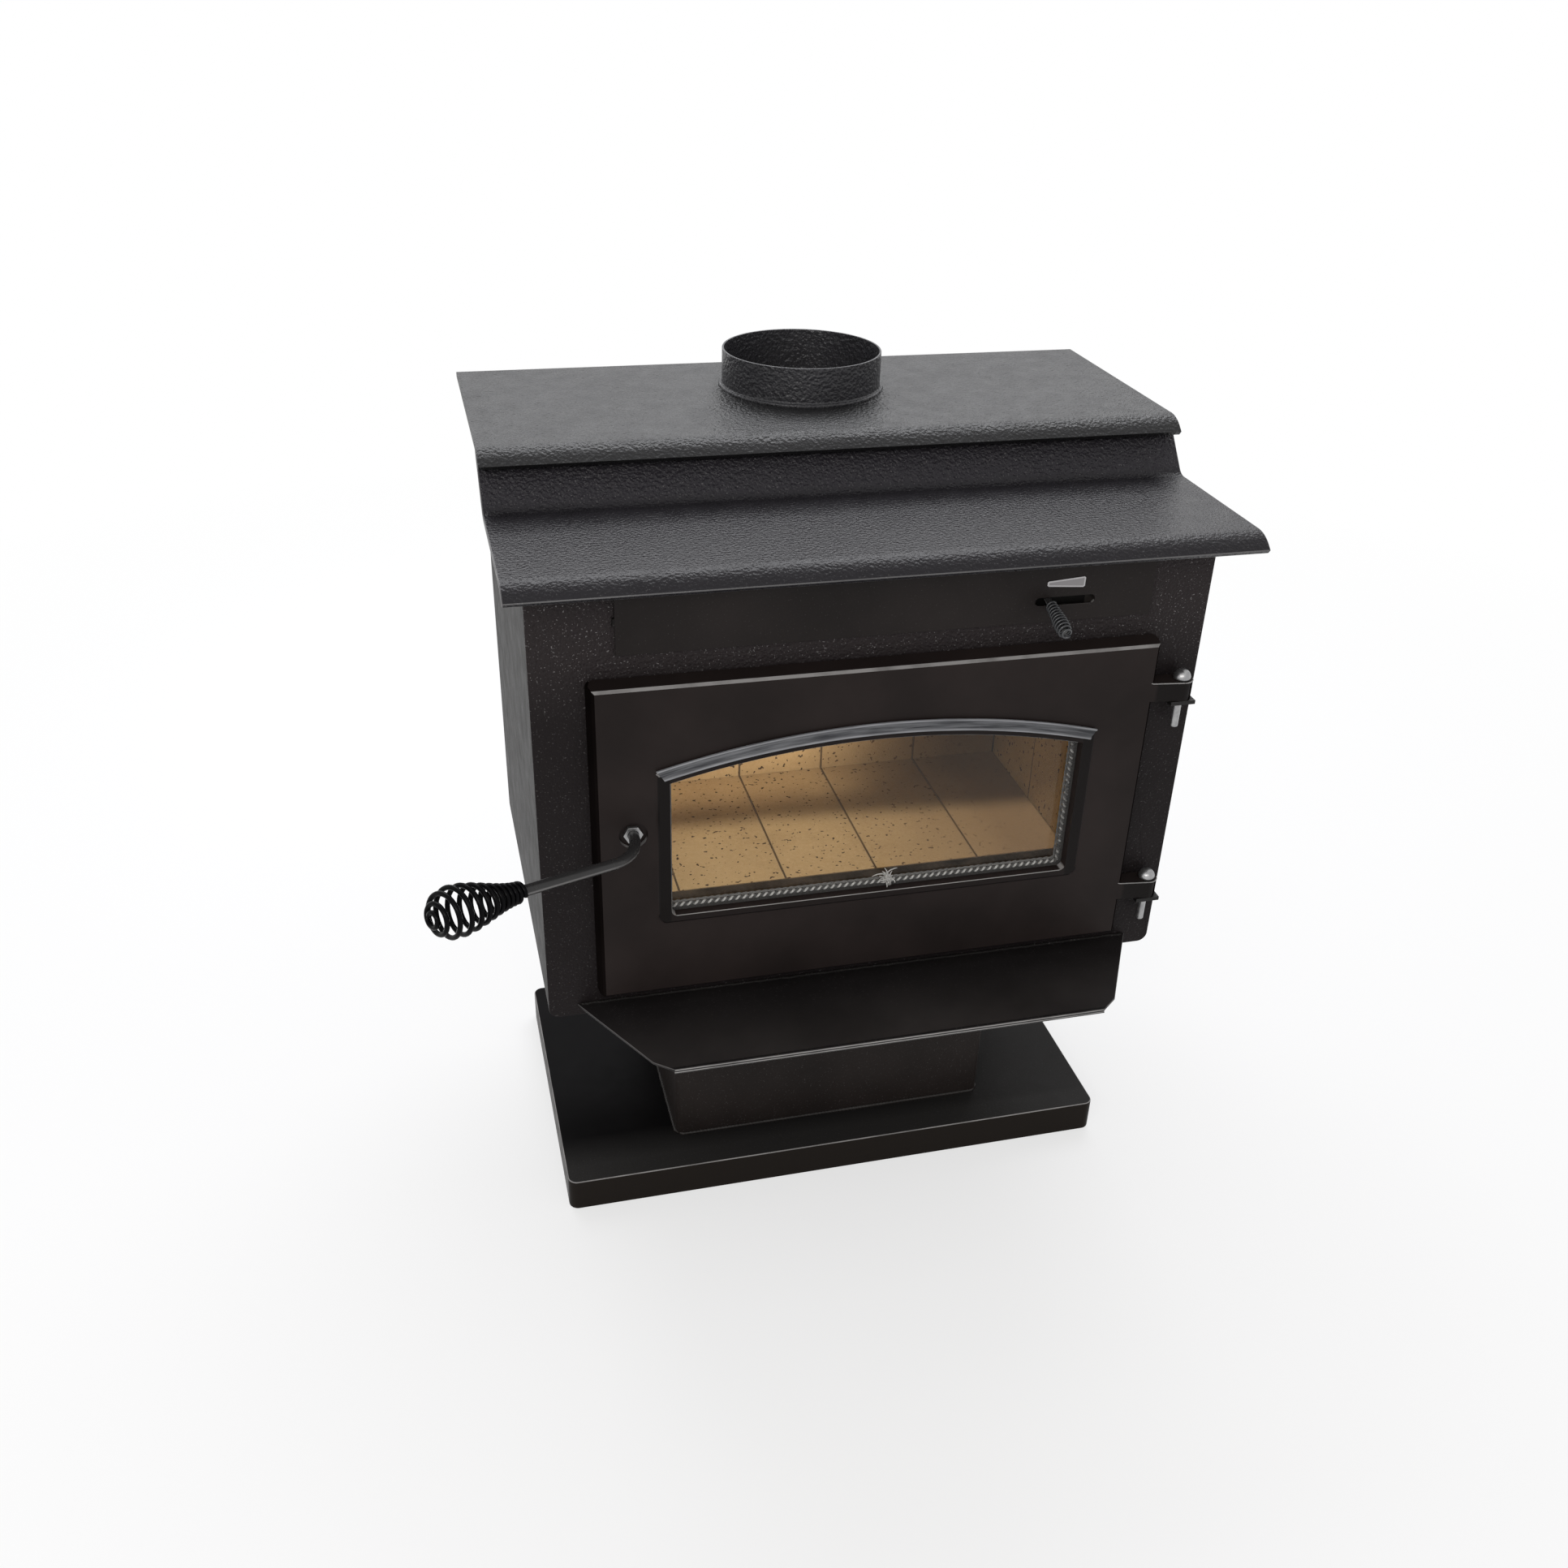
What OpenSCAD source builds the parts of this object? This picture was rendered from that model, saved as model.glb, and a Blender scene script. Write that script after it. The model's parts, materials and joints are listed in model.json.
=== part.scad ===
// Pedestal wood stove: a welded plate firebox with a stepped top, an arched-window door on bolt
// hinges, a lever latch, a sliding air control and a firebrick lining. Millimetres, Z up.
// The origin is the centre of the base's underside, on the floor. The front faces -Y.

/* [Base and pedestal] */
// Width of the floor base
base_w = 600; // [540:1:660]
// Depth of the floor base
base_d = 346; // [310:1:400]
// Height of the folded base tray
base_h = 38; // [28:1:60]
// Sheet thickness of the base tray
base_sheet = 3; // [2:0.5:5]
// Corner radius of the base tray
base_corner_r = 10; // [7:1:24]
// Width of the flange folded in under the base tray
base_flange_w = 24; // [14:1:40]
// Width of the pedestal column
column_w = 350; // [280:1:420]
// Depth of the pedestal column
column_d = 248; // [200:1:290]
// Height of the pedestal column above the base
column_h = 246; // [180:1:320]
// Wall of the pedestal column
column_wall = 4; // [3:0.5:6]
// Corner radius of the pedestal column
column_corner_r = 7; // [7:1:20]

/* [Firebox plates] */
// Width of the firebox body
body_w = 622; // [600:1:650]
// Gap between the side bricks and the inside of the firebox front
lining_gap = 12.2; // [8:0.1:18]
// Back face of the firebox, behind the pedestal's centre
back_reach = 197; // [193:0.5:220]
// Thickness of the firebox plates
plate_t = 5; // [4.5:0.5:6]
// Bend radius of the lower corners of the firebox, outside
shell_corner_r = 10; // [8:1:16]
// Height of the step's top surface above the door's upper edge
step_over_door = 110; // [106:0.5:128]
// Rise from the step to the top plate, between their top surfaces
top_rise = 49; // [40:1:60]

/* [Roof plates] */
// Overhang of the step plate and of the top plate at each side of the firebox
roof_side = 20; // [18:0.5:36]
// Thickness of the step plate and of the top plate
roof_sheet = 5; // [4:0.5:6]
// Outer bend radius of the rolled front edges
nose_r = 32; // [20:1:36]
// Angle through which the front edges are rolled down
nose_angle = 40; // [30:1:50]
// Straight end of the rolled front edges
nose_lip = 6; // [3:0.5:10]
// Reach of the step's front edge in front of the firebox
step_overhang = 53; // [46:1:60]
// Distance from the firebox's front to the foot of the riser
riser_foot = 120.5; // [110:0.5:130]
// Angle of the riser above the horizontal
riser_angle = 49; // [44:1:55]
// Bend radius at the foot of the riser, on top
riser_bend_r = 14; // [8:1:20]
// Distance of the top plate's front edge behind the riser's foot
top_setback = 12.8; // [6:0.2:14]
// Reach of the top plate behind the firebox
top_back_overhang = 3.8; // [0:0.1:8]

/* [Flue collar] */
// Bore of the flue collar, for a nominal 6 inch pipe
flue_bore_d = 153; // [152.5:0.1:153.5]
// Wall of the flue collar
flue_wall = 2; // [2:0.5:4]
// Height of the flue collar above the top plate
flue_rise = 36; // [30:1:60]
// Length of the flue collar below the top plate
flue_drop = 5; // [2:1:12]
// Distance from the flue's centre to the firebox's back face
flue_from_back = 92; // [88:1:105]
// Leg of the weld bead round the foot of the collar
weld_leg = 3.5; // [2:0.5:6]
// Gap round the collar in the top plate
flue_gap = 0.2; // [0.1:0.1:0.5]

/* [Door] */
// Width of the firebox front left beside the door, on each side
door_side = 50.5; // [48:0.5:55]
// Height of the door
door_h = 320; // [312:1:324]
// Height of the door's lower edge above the firebox's underside
door_sill = 30.5; // [27:0.5:34]
// Thickness of the door casting
door_t = 16.8; // [16.5:0.1:18]
// Gap between the door and the firebox front, taken up by the rope gasket
door_gap = 2; // [1.5:0.1:3]
// Corner radius of the door
door_corner_r = 6; // [4:0.5:12]
// Chamfer round the door's front edges
door_chamfer = 2.4; // [1:0.2:5]
// Draft of the door's edges: how much wider the casting is at its back, on each side
door_draft = 3.5; // [1:0.5:5]
// Width of the door's rope gasket
door_gasket_w = 10; // [8:0.5:11]
// Depth of the gasket's channel in the door
door_gasket_depth = 8; // [6:0.5:9]
// Distance from the door's edge to the gasket's channel
door_gasket_inset = 6.5; // [5:0.5:8]
// Radial clearance of the door gasket in its channel
gasket_play = 0.2; // [0.1:0.1:0.4]
// Clearance left between parts that move past each other
run_gap = 0.3; // [0.2:0.05:0.5]

/* [Window] */
// Distance of the window's sides from the door's edges
window_side = 65.5; // [62:0.5:76]
// Distance of the window's highest point below the door's upper edge
window_head = 68.7; // [64:0.1:80]
// Rise of the window's arched top
arch_rise = 24.8; // [20:0.2:28]
// Height of the window's lower edge above the door's lower edge
window_sill = 85.5; // [78:0.5:90]
// Corner radius at the foot of the window
window_corner_r = 6; // [5:1:12]
// Width of the raised frame beside and over the window
window_frame_w = 12.5; // [8:0.5:12.5]
// Width of the raised frame under the window
window_frame_sill = 8; // [5:0.5:12]
// Height of the raised frame above the door's face
window_frame_proud = 2; // [1:0.5:3]
// Gap between the window's arched top and the arch moulding
arch_gap = 5.6; // [2:0.2:7]
// Height of the arch moulding
arch_band = 10.6; // [8:0.2:12]
// Height of the arch moulding above the door's face
arch_proud = 6; // [4:0.5:8]
// Thickness of the glass
glass_t = 5; // [4:0.5:5]
// Overlap of the glass behind the door's skin
glass_lap = 12; // [10:1:14]
// Gap between the glass edges and its seat in the door
glass_gap = 1; // [0.5:0.5:2]
// Compressed thickness of the glass gasket
glass_gasket_t = 4; // [3:0.5:4]
// Width of the glass gasket that shows inside the window
glass_gasket_show = 3; // [1:0.5:4]

/* [Hinges] */
// Distance of the hinge axis outside the door's edge
hinge_out = 29.9; // [27:0.1:31]
// Distance of the hinge axis behind the door's front face
hinge_back = 5.8; // [5:0.1:7.5]
// Radius of the hinge lugs
lug_r = 10.5; // [9:0.5:11]
// Height of each hinge lug
lug_h = 18.7; // [14:0.1:26]
// Height of the lower lug above the door's lower edge
lug_low = 41.2; // [34:0.1:50]
// Height of the upper lug's underside below the door's upper edge
lug_high = 57.9; // [50:0.1:80]
// Diameter of the hinge bolts
hinge_bolt_d = 8; // [6:0.5:10]
// Radial clearance of the hinge bolts in the lugs and brackets
hinge_play = 0.08; // [0.03:0.01:0.1]
// Diameter of the hinge bolts' domed heads
hinge_head_d = 16.4; // [13:0.2:19]
// Height of the domed heads
hinge_head_h = 8; // [5:0.5:8]
// Thickness of the washers under the domed heads
hinge_washer_t = 1.4; // [0.8:0.1:2]
// Length of the hinge bolts below the lugs
hinge_tail = 30.6; // [12:0.1:34]
// Thickness of the hinge brackets
bracket_t = 4; // [3:0.5:6]
// Width of each hinge bracket, from the hinge axis to its outer end
bracket_out = 12.4; // [11:0.1:18]

/* [Handle and latch] */
// Distance of the spindle from the door's free edge
spindle_inset = 32.2; // [31.5:0.1:35]
// Height of the spindle above the door's lower edge
spindle_h = 176; // [165:0.5:185]
// Diameter of the handle rod
rod_d = 10; // [8:0.5:12]
// Radial clearance of the spindle in the door
spindle_play = 0.08; // [0.03:0.01:0.1]
// Diameter of the recess round the spindle
recess_d = 26; // [24:0.5:28]
// Depth of the recess round the spindle
recess_depth = 4.5; // [4:0.5:6]
// Straight length of the rod in front of the door, before the bend
rod_lead = 3.5; // [3:0.5:20]
// Centreline radius of the rod's bend
rod_bend_r = 58; // [50:0.5:66]
// Lean of the handle arm, away from the door
arm_lean = 32; // [24:1:38]
// Rise of the handle arm, above the horizontal
arm_rise = 12.4; // [0:0.2:20]
// Length of the arm between its bend and the coil grip
arm_l = 99.6; // [90:0.2:108]
// Length of the coil grip
grip_l = 87.8; // [84:0.2:94]
// Largest outer diameter of the coil grip
grip_d = 44; // [40:1:48]
// Sag of the coil grip under its own weight, at the middle of its ball
grip_sag = 0.5; // [0:0.5:3]
// Wire diameter of the coil grip
grip_wire = 4.4; // [3.4:0.1:4.5]
// Number of turns in the coil grip
grip_turns = 12.5; // [10:0.5:12.5]
// Length of the latch cam from the spindle's axis
cam_l = 33; // [31:1:35]
// Width of the latch cam
cam_w = 14; // [10:1:16]
// Thickness of the latch cam
cam_t = 7; // [5:0.5:9]
// Radius of the latch cam's hub and of the spindle's boss
cam_hub_r = 8; // [7.5:0.5:9.5]
// Thickness of the keeper behind the firebox front
keeper_t = 3; // [2:0.5:4]
// Width of the keeper
keeper_w = 19; // [17:1:21]
// Height of the keeper
keeper_h = 50; // [40:1:70]
// Width across the flats of the spindle nuts
nut_af = 15.5; // [14:0.5:18]
// Thickness of the nut in the door's recess
nut_t = 4; // [3:0.5:4]
// Thickness of the latch nut on the inner end of the spindle
latch_nut_t = 8; // [5:0.5:9]
// Length of the spindle beyond the latch nut
spindle_end = 1.2; // [0.5:0.1:4]

/* [Air control] */
// Distance of the air channel cover's left end from the firebox's side
cover_left_end = 74; // [60:1:90]
// Distance of the air channel cover's right end from the firebox's side
cover_right_end = 60; // [46:1:70]
// Height of the cover's lower edge above the door's upper edge
cover_above_door = 25; // [20:1:27]
// Distance of the cover's upper edge below the step plate
cover_below_step = 3; // [2:0.5:6]
// Sheet thickness of the cover
cover_sheet = 2.5; // [1.5:0.5:3]
// Height of the cover above the firebox front
cover_proud = 4; // [3.5:0.5:6]
// Distance of the control slot's centre from the cover's right end
slot_end = 84.8; // [76:0.2:91]
// Length of the control slot
slot_l = 57.2; // [56:0.2:64]
// Height of the control slot
slot_h = 8; // [7.6:0.2:11]
// Height of the control slot above the cover's lower edge
slot_up = 19.3; // [18:0.1:21]
// Distance of the control rod, left of the slot's centre
control_left = 15.2; // [12.2:0.2:18.2]
// Diameter of the control rod
control_rod_d = 6; // [5:0.5:6]
// Tilt of the control rod below the horizontal
control_tilt = 17; // [12:1:18]
// Reach of the control rod in front of the cover
control_reach = 44; // [38:1:54]
// Wire diameter of the control's coil handle
control_wire = 2.3; // [2:0.1:2.6]
// Largest outer diameter of the control's coil handle
control_coil_d = 14.5; // [13:0.5:17]
// Number of turns in the control's coil handle
control_turns = 11; // [8:1:12]
// Thickness of the air slide
slide_t = 2; // [1.5:0.5:2.5]
// Length of the air slide to the left of the control rod
slide_left = 57; // [52:1:62]
// Length of the air slide to the right of the control rod
slide_right = 37; // [33:1:38]
// Height of the air window in the firebox front
air_window_h = 40; // [36:1:44]
// Thickness of the scale plate on the cover
label_t = 0.6; // [0.4:0.1:1]

/* [Ash lip] */
// Distance of the ash lip's top below the door's lower edge
lip_drop = 17.5; // [10:0.5:20]
// Sheet thickness of the ash lip
lip_sheet = 2.5; // [2:0.5:4]
// Distance of the ash lip's ends from the firebox's sides
lip_end = 27; // [16:0.5:41]
// Distance by which the ash lip's corners are set in from its ends
lip_corner_in = 56; // [44:0.5:69]
// Reach of the ash lip's corners in front of the firebox
lip_corner_reach = 100; // [90:0.5:110]
// Distance by which the ash lip's front edge is set in from its ends
lip_front_in = 73; // [70:0.5:94]
// Reach of the ash lip in front of the firebox
lip_reach = 115; // [112:0.5:140]
// Depth of the hem folded under the front edge
lip_hem = 12; // [8:1:18]

/* [Firebrick lining] */
// Thickness of the firebricks
brick_t = 32; // [30:0.5:33]
// Width of a full firebrick
brick_w = 114.3; // [112:0.1:114.5]
// Length of a full firebrick
brick_l = 229; // [226:0.5:229.5]
// Depth of the brick floor, from the back bricks to the hearth ledge
floor_brick_l = 226; // [210:1:230]
// Width of the narrow brick at the middle of the floor and of the back
key_brick_w = 99; // [94:1:104]
// Joint between neighbouring bricks
brick_joint = 0.5; // [0.3:0.1:1]
// Sheet thickness of the hearth ledge in front of the bricks
ledge_sheet = 3; // [2:0.5:4]

/* [Combustion air and baffle] */
// Depth of the air wash channel above the door opening
wash_depth = 46; // [40:1:52]
// Height of the air wash channel
wash_h = 76; // [70:1:80]
// Distance of the air wash channel's ends from the firebox's inner sides
wash_end = 66; // [46:1:70]
// Height of the air wash channel's floor above the door opening
wash_above = 25; // [20:1:28]
// Sheet thickness of the inner air channels
duct_sheet = 2; // [1.5:0.5:3]
// Width of the air wash outlet above the glass
wash_slit = 8; // [5:1:12]
// Section of the square air manifold that carries the tubes
manifold_s = 38; // [34:1:42]
// Front end of the manifold, measured back from the firebox front
manifold_set = 82; // [74:1:90]
// Outer diameter of the secondary air tubes
tube_d = 25.4; // [22:0.2:28]
// Wall of the secondary air tubes
tube_wall = 1.2; // [1:0.1:2]
// Number of secondary air tubes
tube_count = 4; // [3:1:4]
// Distance of the first tube's axis behind the manifold's front end
tube_first = 28; // [22:1:34]
// Spacing of the secondary air tubes
tube_pitch = 62; // [50:1:66]
// Depth to which the tubes enter the manifold
tube_entry = 10; // [6:1:16]
// Radial gap of the tubes in the manifold
tube_gap = 0.3; // [0.1:0.1:0.5]
// Diameter of the air holes in the tubes
tube_hole_d = 4; // [3:0.5:5]
// Plain length of the tubes between the manifold and the air holes, at each end
tube_plain = 30; // [16:1:60]
// Number of air holes in each tube
tube_holes = 12; // [8:1:16]
// Diameter of the tube pins
pin_d = 3; // [2:0.5:4]
// Thickness of the baffle boards
baffle_t = 26; // [20:1:28]
// Reach of the baffle boards in front of the manifold
baffle_front = 6; // [0:1:10]
// Thickness of the insulation blanket on the baffle
blanket_t = 12; // [8:1:20]
// Depth of the insulation blanket
blanket_d = 190; // [150:1:220]
// Width of the rear air duct
rear_duct_w = 120; // [100:1:160]
// Depth of the rear air duct behind the firebox
rear_duct_d = 25; // [20:1:35]
// Height of the rear air duct's mouth above the firebox's underside
rear_duct_mouth = 36; // [20:1:60]

/* [Hidden] */
$fn = 48;
cut = 1;              // how far a cutting solid runs past the face that it cuts
iron = "#2b2726";
iron_light = "#34302e";
brick_color = "#cdb48a";
rope_color = "#b4b0a6";
zinc_color = "#b9bdc0";
steel_color = "#8f8a85";

// heights and depths of the firebox
body_z = base_h + column_h;
door_w = body_w - 2 * door_side;
roof_w = body_w + 2 * roof_side;
step_h = door_sill + door_h + step_over_door;
back_y = back_reach;
front_y = back_y - 2 * plate_t - brick_t - 2 * brick_joint - brick_l - brick_w - lining_gap;
inner_front_y = front_y + plate_t;
inner_back_y = back_y - plate_t;
inner_x = body_w / 2 - plate_t;
floor_z = body_z + plate_t;
step_z = body_z + step_h;
top_z = step_z + top_rise;
step_under_z = step_z - roof_sheet;
top_under_z = top_z - roof_sheet;

// roof profile
nose_reach = nose_r * sin(nose_angle) + nose_lip * cos(nose_angle);
step_bend_y = front_y - step_overhang + nose_reach;
foot_y = front_y + riser_foot;
top_bend_y = foot_y + top_setback + nose_reach;
top_back_y = back_y + top_back_overhang;
riser_corner_y = foot_y + roof_sheet * tan(riser_angle / 2);
riser_top_y = riser_corner_y + (top_under_z - step_under_z) / tan(riser_angle);

// flue
flue_r = flue_bore_d / 2;
flue_out_r = flue_r + flue_wall;
flue_y = back_y - flue_from_back;

// door and the opening behind it
door_z = body_z + door_sill;
door_back_y = front_y - door_gap;
door_face_y = door_back_y - door_t;
door_inset = door_gasket_inset + door_gasket_w + 2;
opening_w = door_w - 2 * door_inset;
opening_z = door_z + door_inset;
opening_h = door_h - 2 * door_inset;
skin_t = door_t - glass_gasket_t - glass_t;
window_w = door_w - 2 * window_side;
window_z = door_z + window_sill;
apex_z = door_z + door_h - window_head;
arch_r = (pow(window_w / 2, 2) + arch_rise * arch_rise) / (2 * arch_rise);
arch_z = apex_z - arch_r;
arch_mitre = 40;      // slope of the moulding's ends, from the vertical
glass_w = window_w + 2 * glass_lap;
glass_z = window_z - glass_lap;
glass_h = apex_z - window_z + 2 * glass_lap;
glass_seat_y = door_face_y + skin_t;
clip_w = 40;
clip_h = 20;
clip_t = 2;
clip_x = window_w * 0.28;
clip_screw_r = 2.5;
clip_screw_l = 8;
clip_screw_off = 7;   // from the glass edge out to the screw's axis
pocket_x = window_w / 2;

// hinges
hinge_x = door_w / 2 + hinge_out;
hinge_y = door_face_y + hinge_back;
hinge_hole_r = hinge_bolt_d / 2 + hinge_play;
lug_zs = [door_z + lug_low, door_z + door_h - lug_high];

// handle and latch
spindle_x = spindle_inset - door_w / 2;
spindle_z = door_z + spindle_h;
keeper_y = inner_front_y + keeper_t;
cam_y = keeper_y + run_gap;
latch_nut_y = cam_y + cam_t;
spindle_back_y = latch_nut_y + latch_nut_t + spindle_end;
rod_joint = 0.5;      // how far the straight lengths of the rod run into its bend
bend_swell = 0.02;    // how much thicker than the rod its bend is
seam = 0.1;           // a weld seam between two plates that meet at an angle
fixed_gap = 0.1;      // round a rod that is welded or screwed into its mate
grip_ball_r = (grip_d - grip_wire) / 2;
grip_neck_r = (rod_d + grip_wire) / 2 + fixed_gap;
grip_cone_l = grip_l - grip_wire / 2 - grip_ball_r;

// air control
cover_left = body_w / 2 - cover_left_end;
cover_right = body_w / 2 - cover_right_end;
slot_x = cover_right - slot_end;
control_x = slot_x - control_left;
cover_z = door_z + door_h + cover_above_door;
cover_top_z = step_under_z - cover_below_step;
cover_face_y = front_y - cover_proud;
slot_z = cover_z + slot_up;
air_window_z = slot_z - slot_h / 2 - 6;
slide_x0 = control_x - slide_left;
slide_x1 = control_x + slide_right;
slide_y = inner_front_y - slide_t - 0.7;
rod_travel_left = -(slot_x - slot_l / 2 + control_rod_d / 2 + 2 - control_x);
rod_travel_right = slot_x + slot_l / 2 - control_rod_d / 2 - 2 - control_x;
air_window_x0 = slide_x0 - rod_travel_left - 8;
air_window_x1 = slide_x1 + rod_travel_right + 6;
port_x0 = slide_x0 + 4;
port_x1 = slide_x0 + rod_travel_right;
control_neck_r = (control_rod_d + control_wire) / 2 + fixed_gap;
control_start = cover_proud / cos(control_tilt) + 3;
control_l = (slide_y - cover_face_y + control_reach) / cos(control_tilt);

// lining
back_brick_y = inner_back_y - brick_t;
side_brick_x = inner_x - brick_t;
brick_top_z = floor_z + brick_t;
ledge_back_y = back_brick_y - floor_brick_l;
upper_brick_h = brick_w;
lining_top_z = floor_z + brick_l + brick_joint + upper_brick_h;
row_widths = [brick_w, brick_w, key_brick_w, brick_w,
  2 * side_brick_x - 3 * brick_w - key_brick_w - 6 * brick_joint];

// air channels and baffle
wash_z = opening_z + opening_h + wash_above;
wash_half_w = inner_x - wash_end;
manifold_z = lining_top_z + 1;
manifold_y = front_y + manifold_set;
manifold_x = inner_x - manifold_s;
tube_z = manifold_z + manifold_s / 2;
tube_ys = [for (i = [0:tube_count - 1]) manifold_y + tube_first + i * tube_pitch];
pin_x = manifold_x - pin_d;
baffle_z = manifold_z + manifold_s;
feed_w = rear_duct_w - 40;
feed_h = manifold_s - 4 * duct_sheet;

// ---- shared shapes ------------------------------------------------------------------------

// points of an arc about [cx, cy], from angle a0 to a1
function arc(cx, cy, r, a0, a1, n = 10) =
  [for (i = [0:n]) let (a = a0 + (a1 - a0) * i / n) [cx + r * cos(a), cy + r * sin(a)]];

// a rolled front edge in [y, z]: from its tip back to the bend's start, at radius r
function nose(bend_y, surface_z, r) =
  let (c = [bend_y, surface_z - nose_r],
       d = [-cos(nose_angle), -sin(nose_angle)],
       rim = arc(c[0], c[1], r, 90 + nose_angle, 90))
  concat([rim[0] + nose_lip * d], rim);

function reversed(list) = [for (i = [len(list) - 1:-1:0]) list[i]];

function unit(v) = v / norm(v);

// a rectangle with round corners, about the origin
module rounded_rect(w, h, r) {
  square([w - 2 * r, h], center = true);
  square([w, h - 2 * r], center = true);
  for (x = [-1, 1], y = [-1, 1])
    translate([x * (w / 2 - r), y * (h / 2 - r)]) circle(r);
}

// an outline drawn in [x, z], thickened from y back by t
module upright(y, t) translate([0, y + t, 0]) rotate([90, 0, 0]) linear_extrude(t) children();

// an outline drawn in [y, z], thickened to each side of the middle
module across(w) rotate([90, 0, 90]) linear_extrude(w, center = true) children();

module box_at(x0, x1, y0, y1, z0, z1)
  translate([x0, y0, z0]) cube([x1 - x0, y1 - y0, z1 - z0]);

// a rod along +Y or -Y between two depths
module rod_y(x, z, r, y0, y1) translate([x, y0, z]) rotate([-90, 0, 0]) cylinder(h = y1 - y0, r = r);

module hex_y(x, z, af, y0, y1)
  translate([x, y0, z]) rotate([-90, 0, 0]) cylinder(h = y1 - y0, r = af / 2 / cos(30), $fn = 6);

// a firebox plate: square above, bent or cut round at its lower corners
module body_outline(top) {
  r = shell_corner_r;
  translate([-body_w / 2, body_z + r]) square([body_w, top - body_z - r]);
  translate([r - body_w / 2, body_z]) square([body_w - 2 * r, r]);
  for (x = [-1, 1]) translate([x * (body_w / 2 - r), body_z + r]) circle(r);
}

// the window's outline in [x, z], grown all round by g
module window_outline(g) {
  r = window_corner_r + g;
  w = window_w + 2 * g;
  intersection() {
    translate([0, arch_z]) circle(arch_r + g, $fn = 180);
    union() {
      translate([-w / 2, window_z - g + r]) square([w, apex_z - window_z]);
      translate([r - w / 2, window_z - g]) square([w - 2 * r, 2 * r]);
      for (x = [-1, 1]) translate([x * (w / 2 - r), window_z - g + r]) circle(r);
    }
  }
}

// a wire swept along points, closed at both ends, with the same number of sides all along
module wire(path, r, sides = 8) {
  n = len(path);
  tangents = [for (i = [0:n - 1]) unit(path[min(i + 1, n - 1)] - path[max(i - 1, 0)])];
  rings = [for (i = [0:n - 1])
    let (t = tangents[i],
         u = unit([1, 0, 0] - t[0] * t),
         v = cross(t, u))
    [for (k = [0:sides - 1]) path[i] + r * (cos(360 * k / sides) * u + sin(360 * k / sides) * v)]];
  points = [for (ring = rings, p = ring) p];
  walls = [for (i = [0:n - 2], k = [0:sides - 1])
    let (a = i * sides + k, b = i * sides + (k + 1) % sides)
    [a, a + sides, b + sides, b]];
  ends = [[for (k = [0:sides - 1]) k], [for (k = [sides - 1:-1:0]) (n - 1) * sides + k]];
  polyhedron(points, concat(walls, ends));
}

// ---- base and pedestal --------------------------------------------------------------------

module base_plate() color(iron) difference() {
  linear_extrude(base_h) rounded_rect(base_w, base_d, base_corner_r);
  translate([0, 0, base_sheet]) linear_extrude(base_h - 2 * base_sheet)
    rounded_rect(base_w - 2 * base_sheet, base_d - 2 * base_sheet, base_corner_r - base_sheet);
  translate([0, 0, -cut]) linear_extrude(base_sheet + 2 * cut)
    rounded_rect(base_w - 2 * base_flange_w, base_d - 2 * base_flange_w, base_corner_r);
}

module pedestal_column() color(iron_light) translate([0, 0, base_h]) difference() {
  linear_extrude(column_h) rounded_rect(column_w, column_d, column_corner_r);
  translate([0, 0, -cut]) linear_extrude(column_h + 2 * cut)
    rounded_rect(column_w - 2 * column_wall, column_d - 2 * column_wall,
      column_corner_r - column_wall);
}

// ---- firebox plates -----------------------------------------------------------------------

// everything above the underside of the step plate and the top plate, seen from the side
module roof_space() across(body_w + 4 * cut) polygon([
  [front_y - cut, step_under_z], [riser_corner_y, step_under_z], [riser_top_y, top_under_z],
  [back_y + cut, top_under_z], [back_y + cut, top_under_z + top_rise],
  [front_y - cut, top_under_z + top_rise]]);

// sides and floor, bent from one plate
module firebox_shell() color(iron) difference() {
  upright(inner_front_y, inner_back_y - inner_front_y) difference() {
    body_outline(top_z);
    translate([-inner_x, floor_z + shell_corner_r - plate_t])
      square([2 * inner_x, top_z]);
    translate([shell_corner_r - body_w / 2, floor_z])
      square([body_w - 2 * shell_corner_r, shell_corner_r]);
    for (x = [-1, 1])
      translate([x * (body_w / 2 - shell_corner_r), body_z + shell_corner_r])
        circle(shell_corner_r - plate_t);
  }
  roof_space();
}

module front_plate() color(iron) upright(front_y, plate_t) difference() {
  body_outline(step_under_z);
  translate([0, opening_z + opening_h / 2]) rounded_rect(opening_w, opening_h, door_corner_r);
  translate([air_window_x0, air_window_z]) square([air_window_x1 - air_window_x0, air_window_h]);
}

module back_plate() color(iron) upright(inner_back_y, plate_t) difference() {
  body_outline(top_under_z);
  translate([-feed_w / 2, tube_z - feed_h / 2]) square([feed_w, feed_h]);
}

// front edge, flat step and riser, bent from one plate
module step_plate() color(iron) across(roof_w) {
  bend_y = foot_y - riser_bend_r * tan(riser_angle / 2);
  bend_z = step_z + riser_bend_r;
  upper = arc(bend_y, bend_z, riser_bend_r, -90, riser_angle - 90);
  lower = arc(bend_y, bend_z, riser_bend_r + roof_sheet, -90, riser_angle - 90);
  slope = [cos(riser_angle), sin(riser_angle)];
  upper_end = upper[len(upper) - 1];
  lower_end = lower[len(lower) - 1];
  polygon(concat(
    nose(step_bend_y, step_z, nose_r), upper,
    [upper_end + slope * (top_under_z - seam - upper_end[1]) / sin(riser_angle)],
    [lower_end + slope * (top_under_z - seam - lower_end[1]) / sin(riser_angle)],
    reversed(lower), reversed(nose(step_bend_y, step_z, nose_r - roof_sheet))));
}

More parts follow.
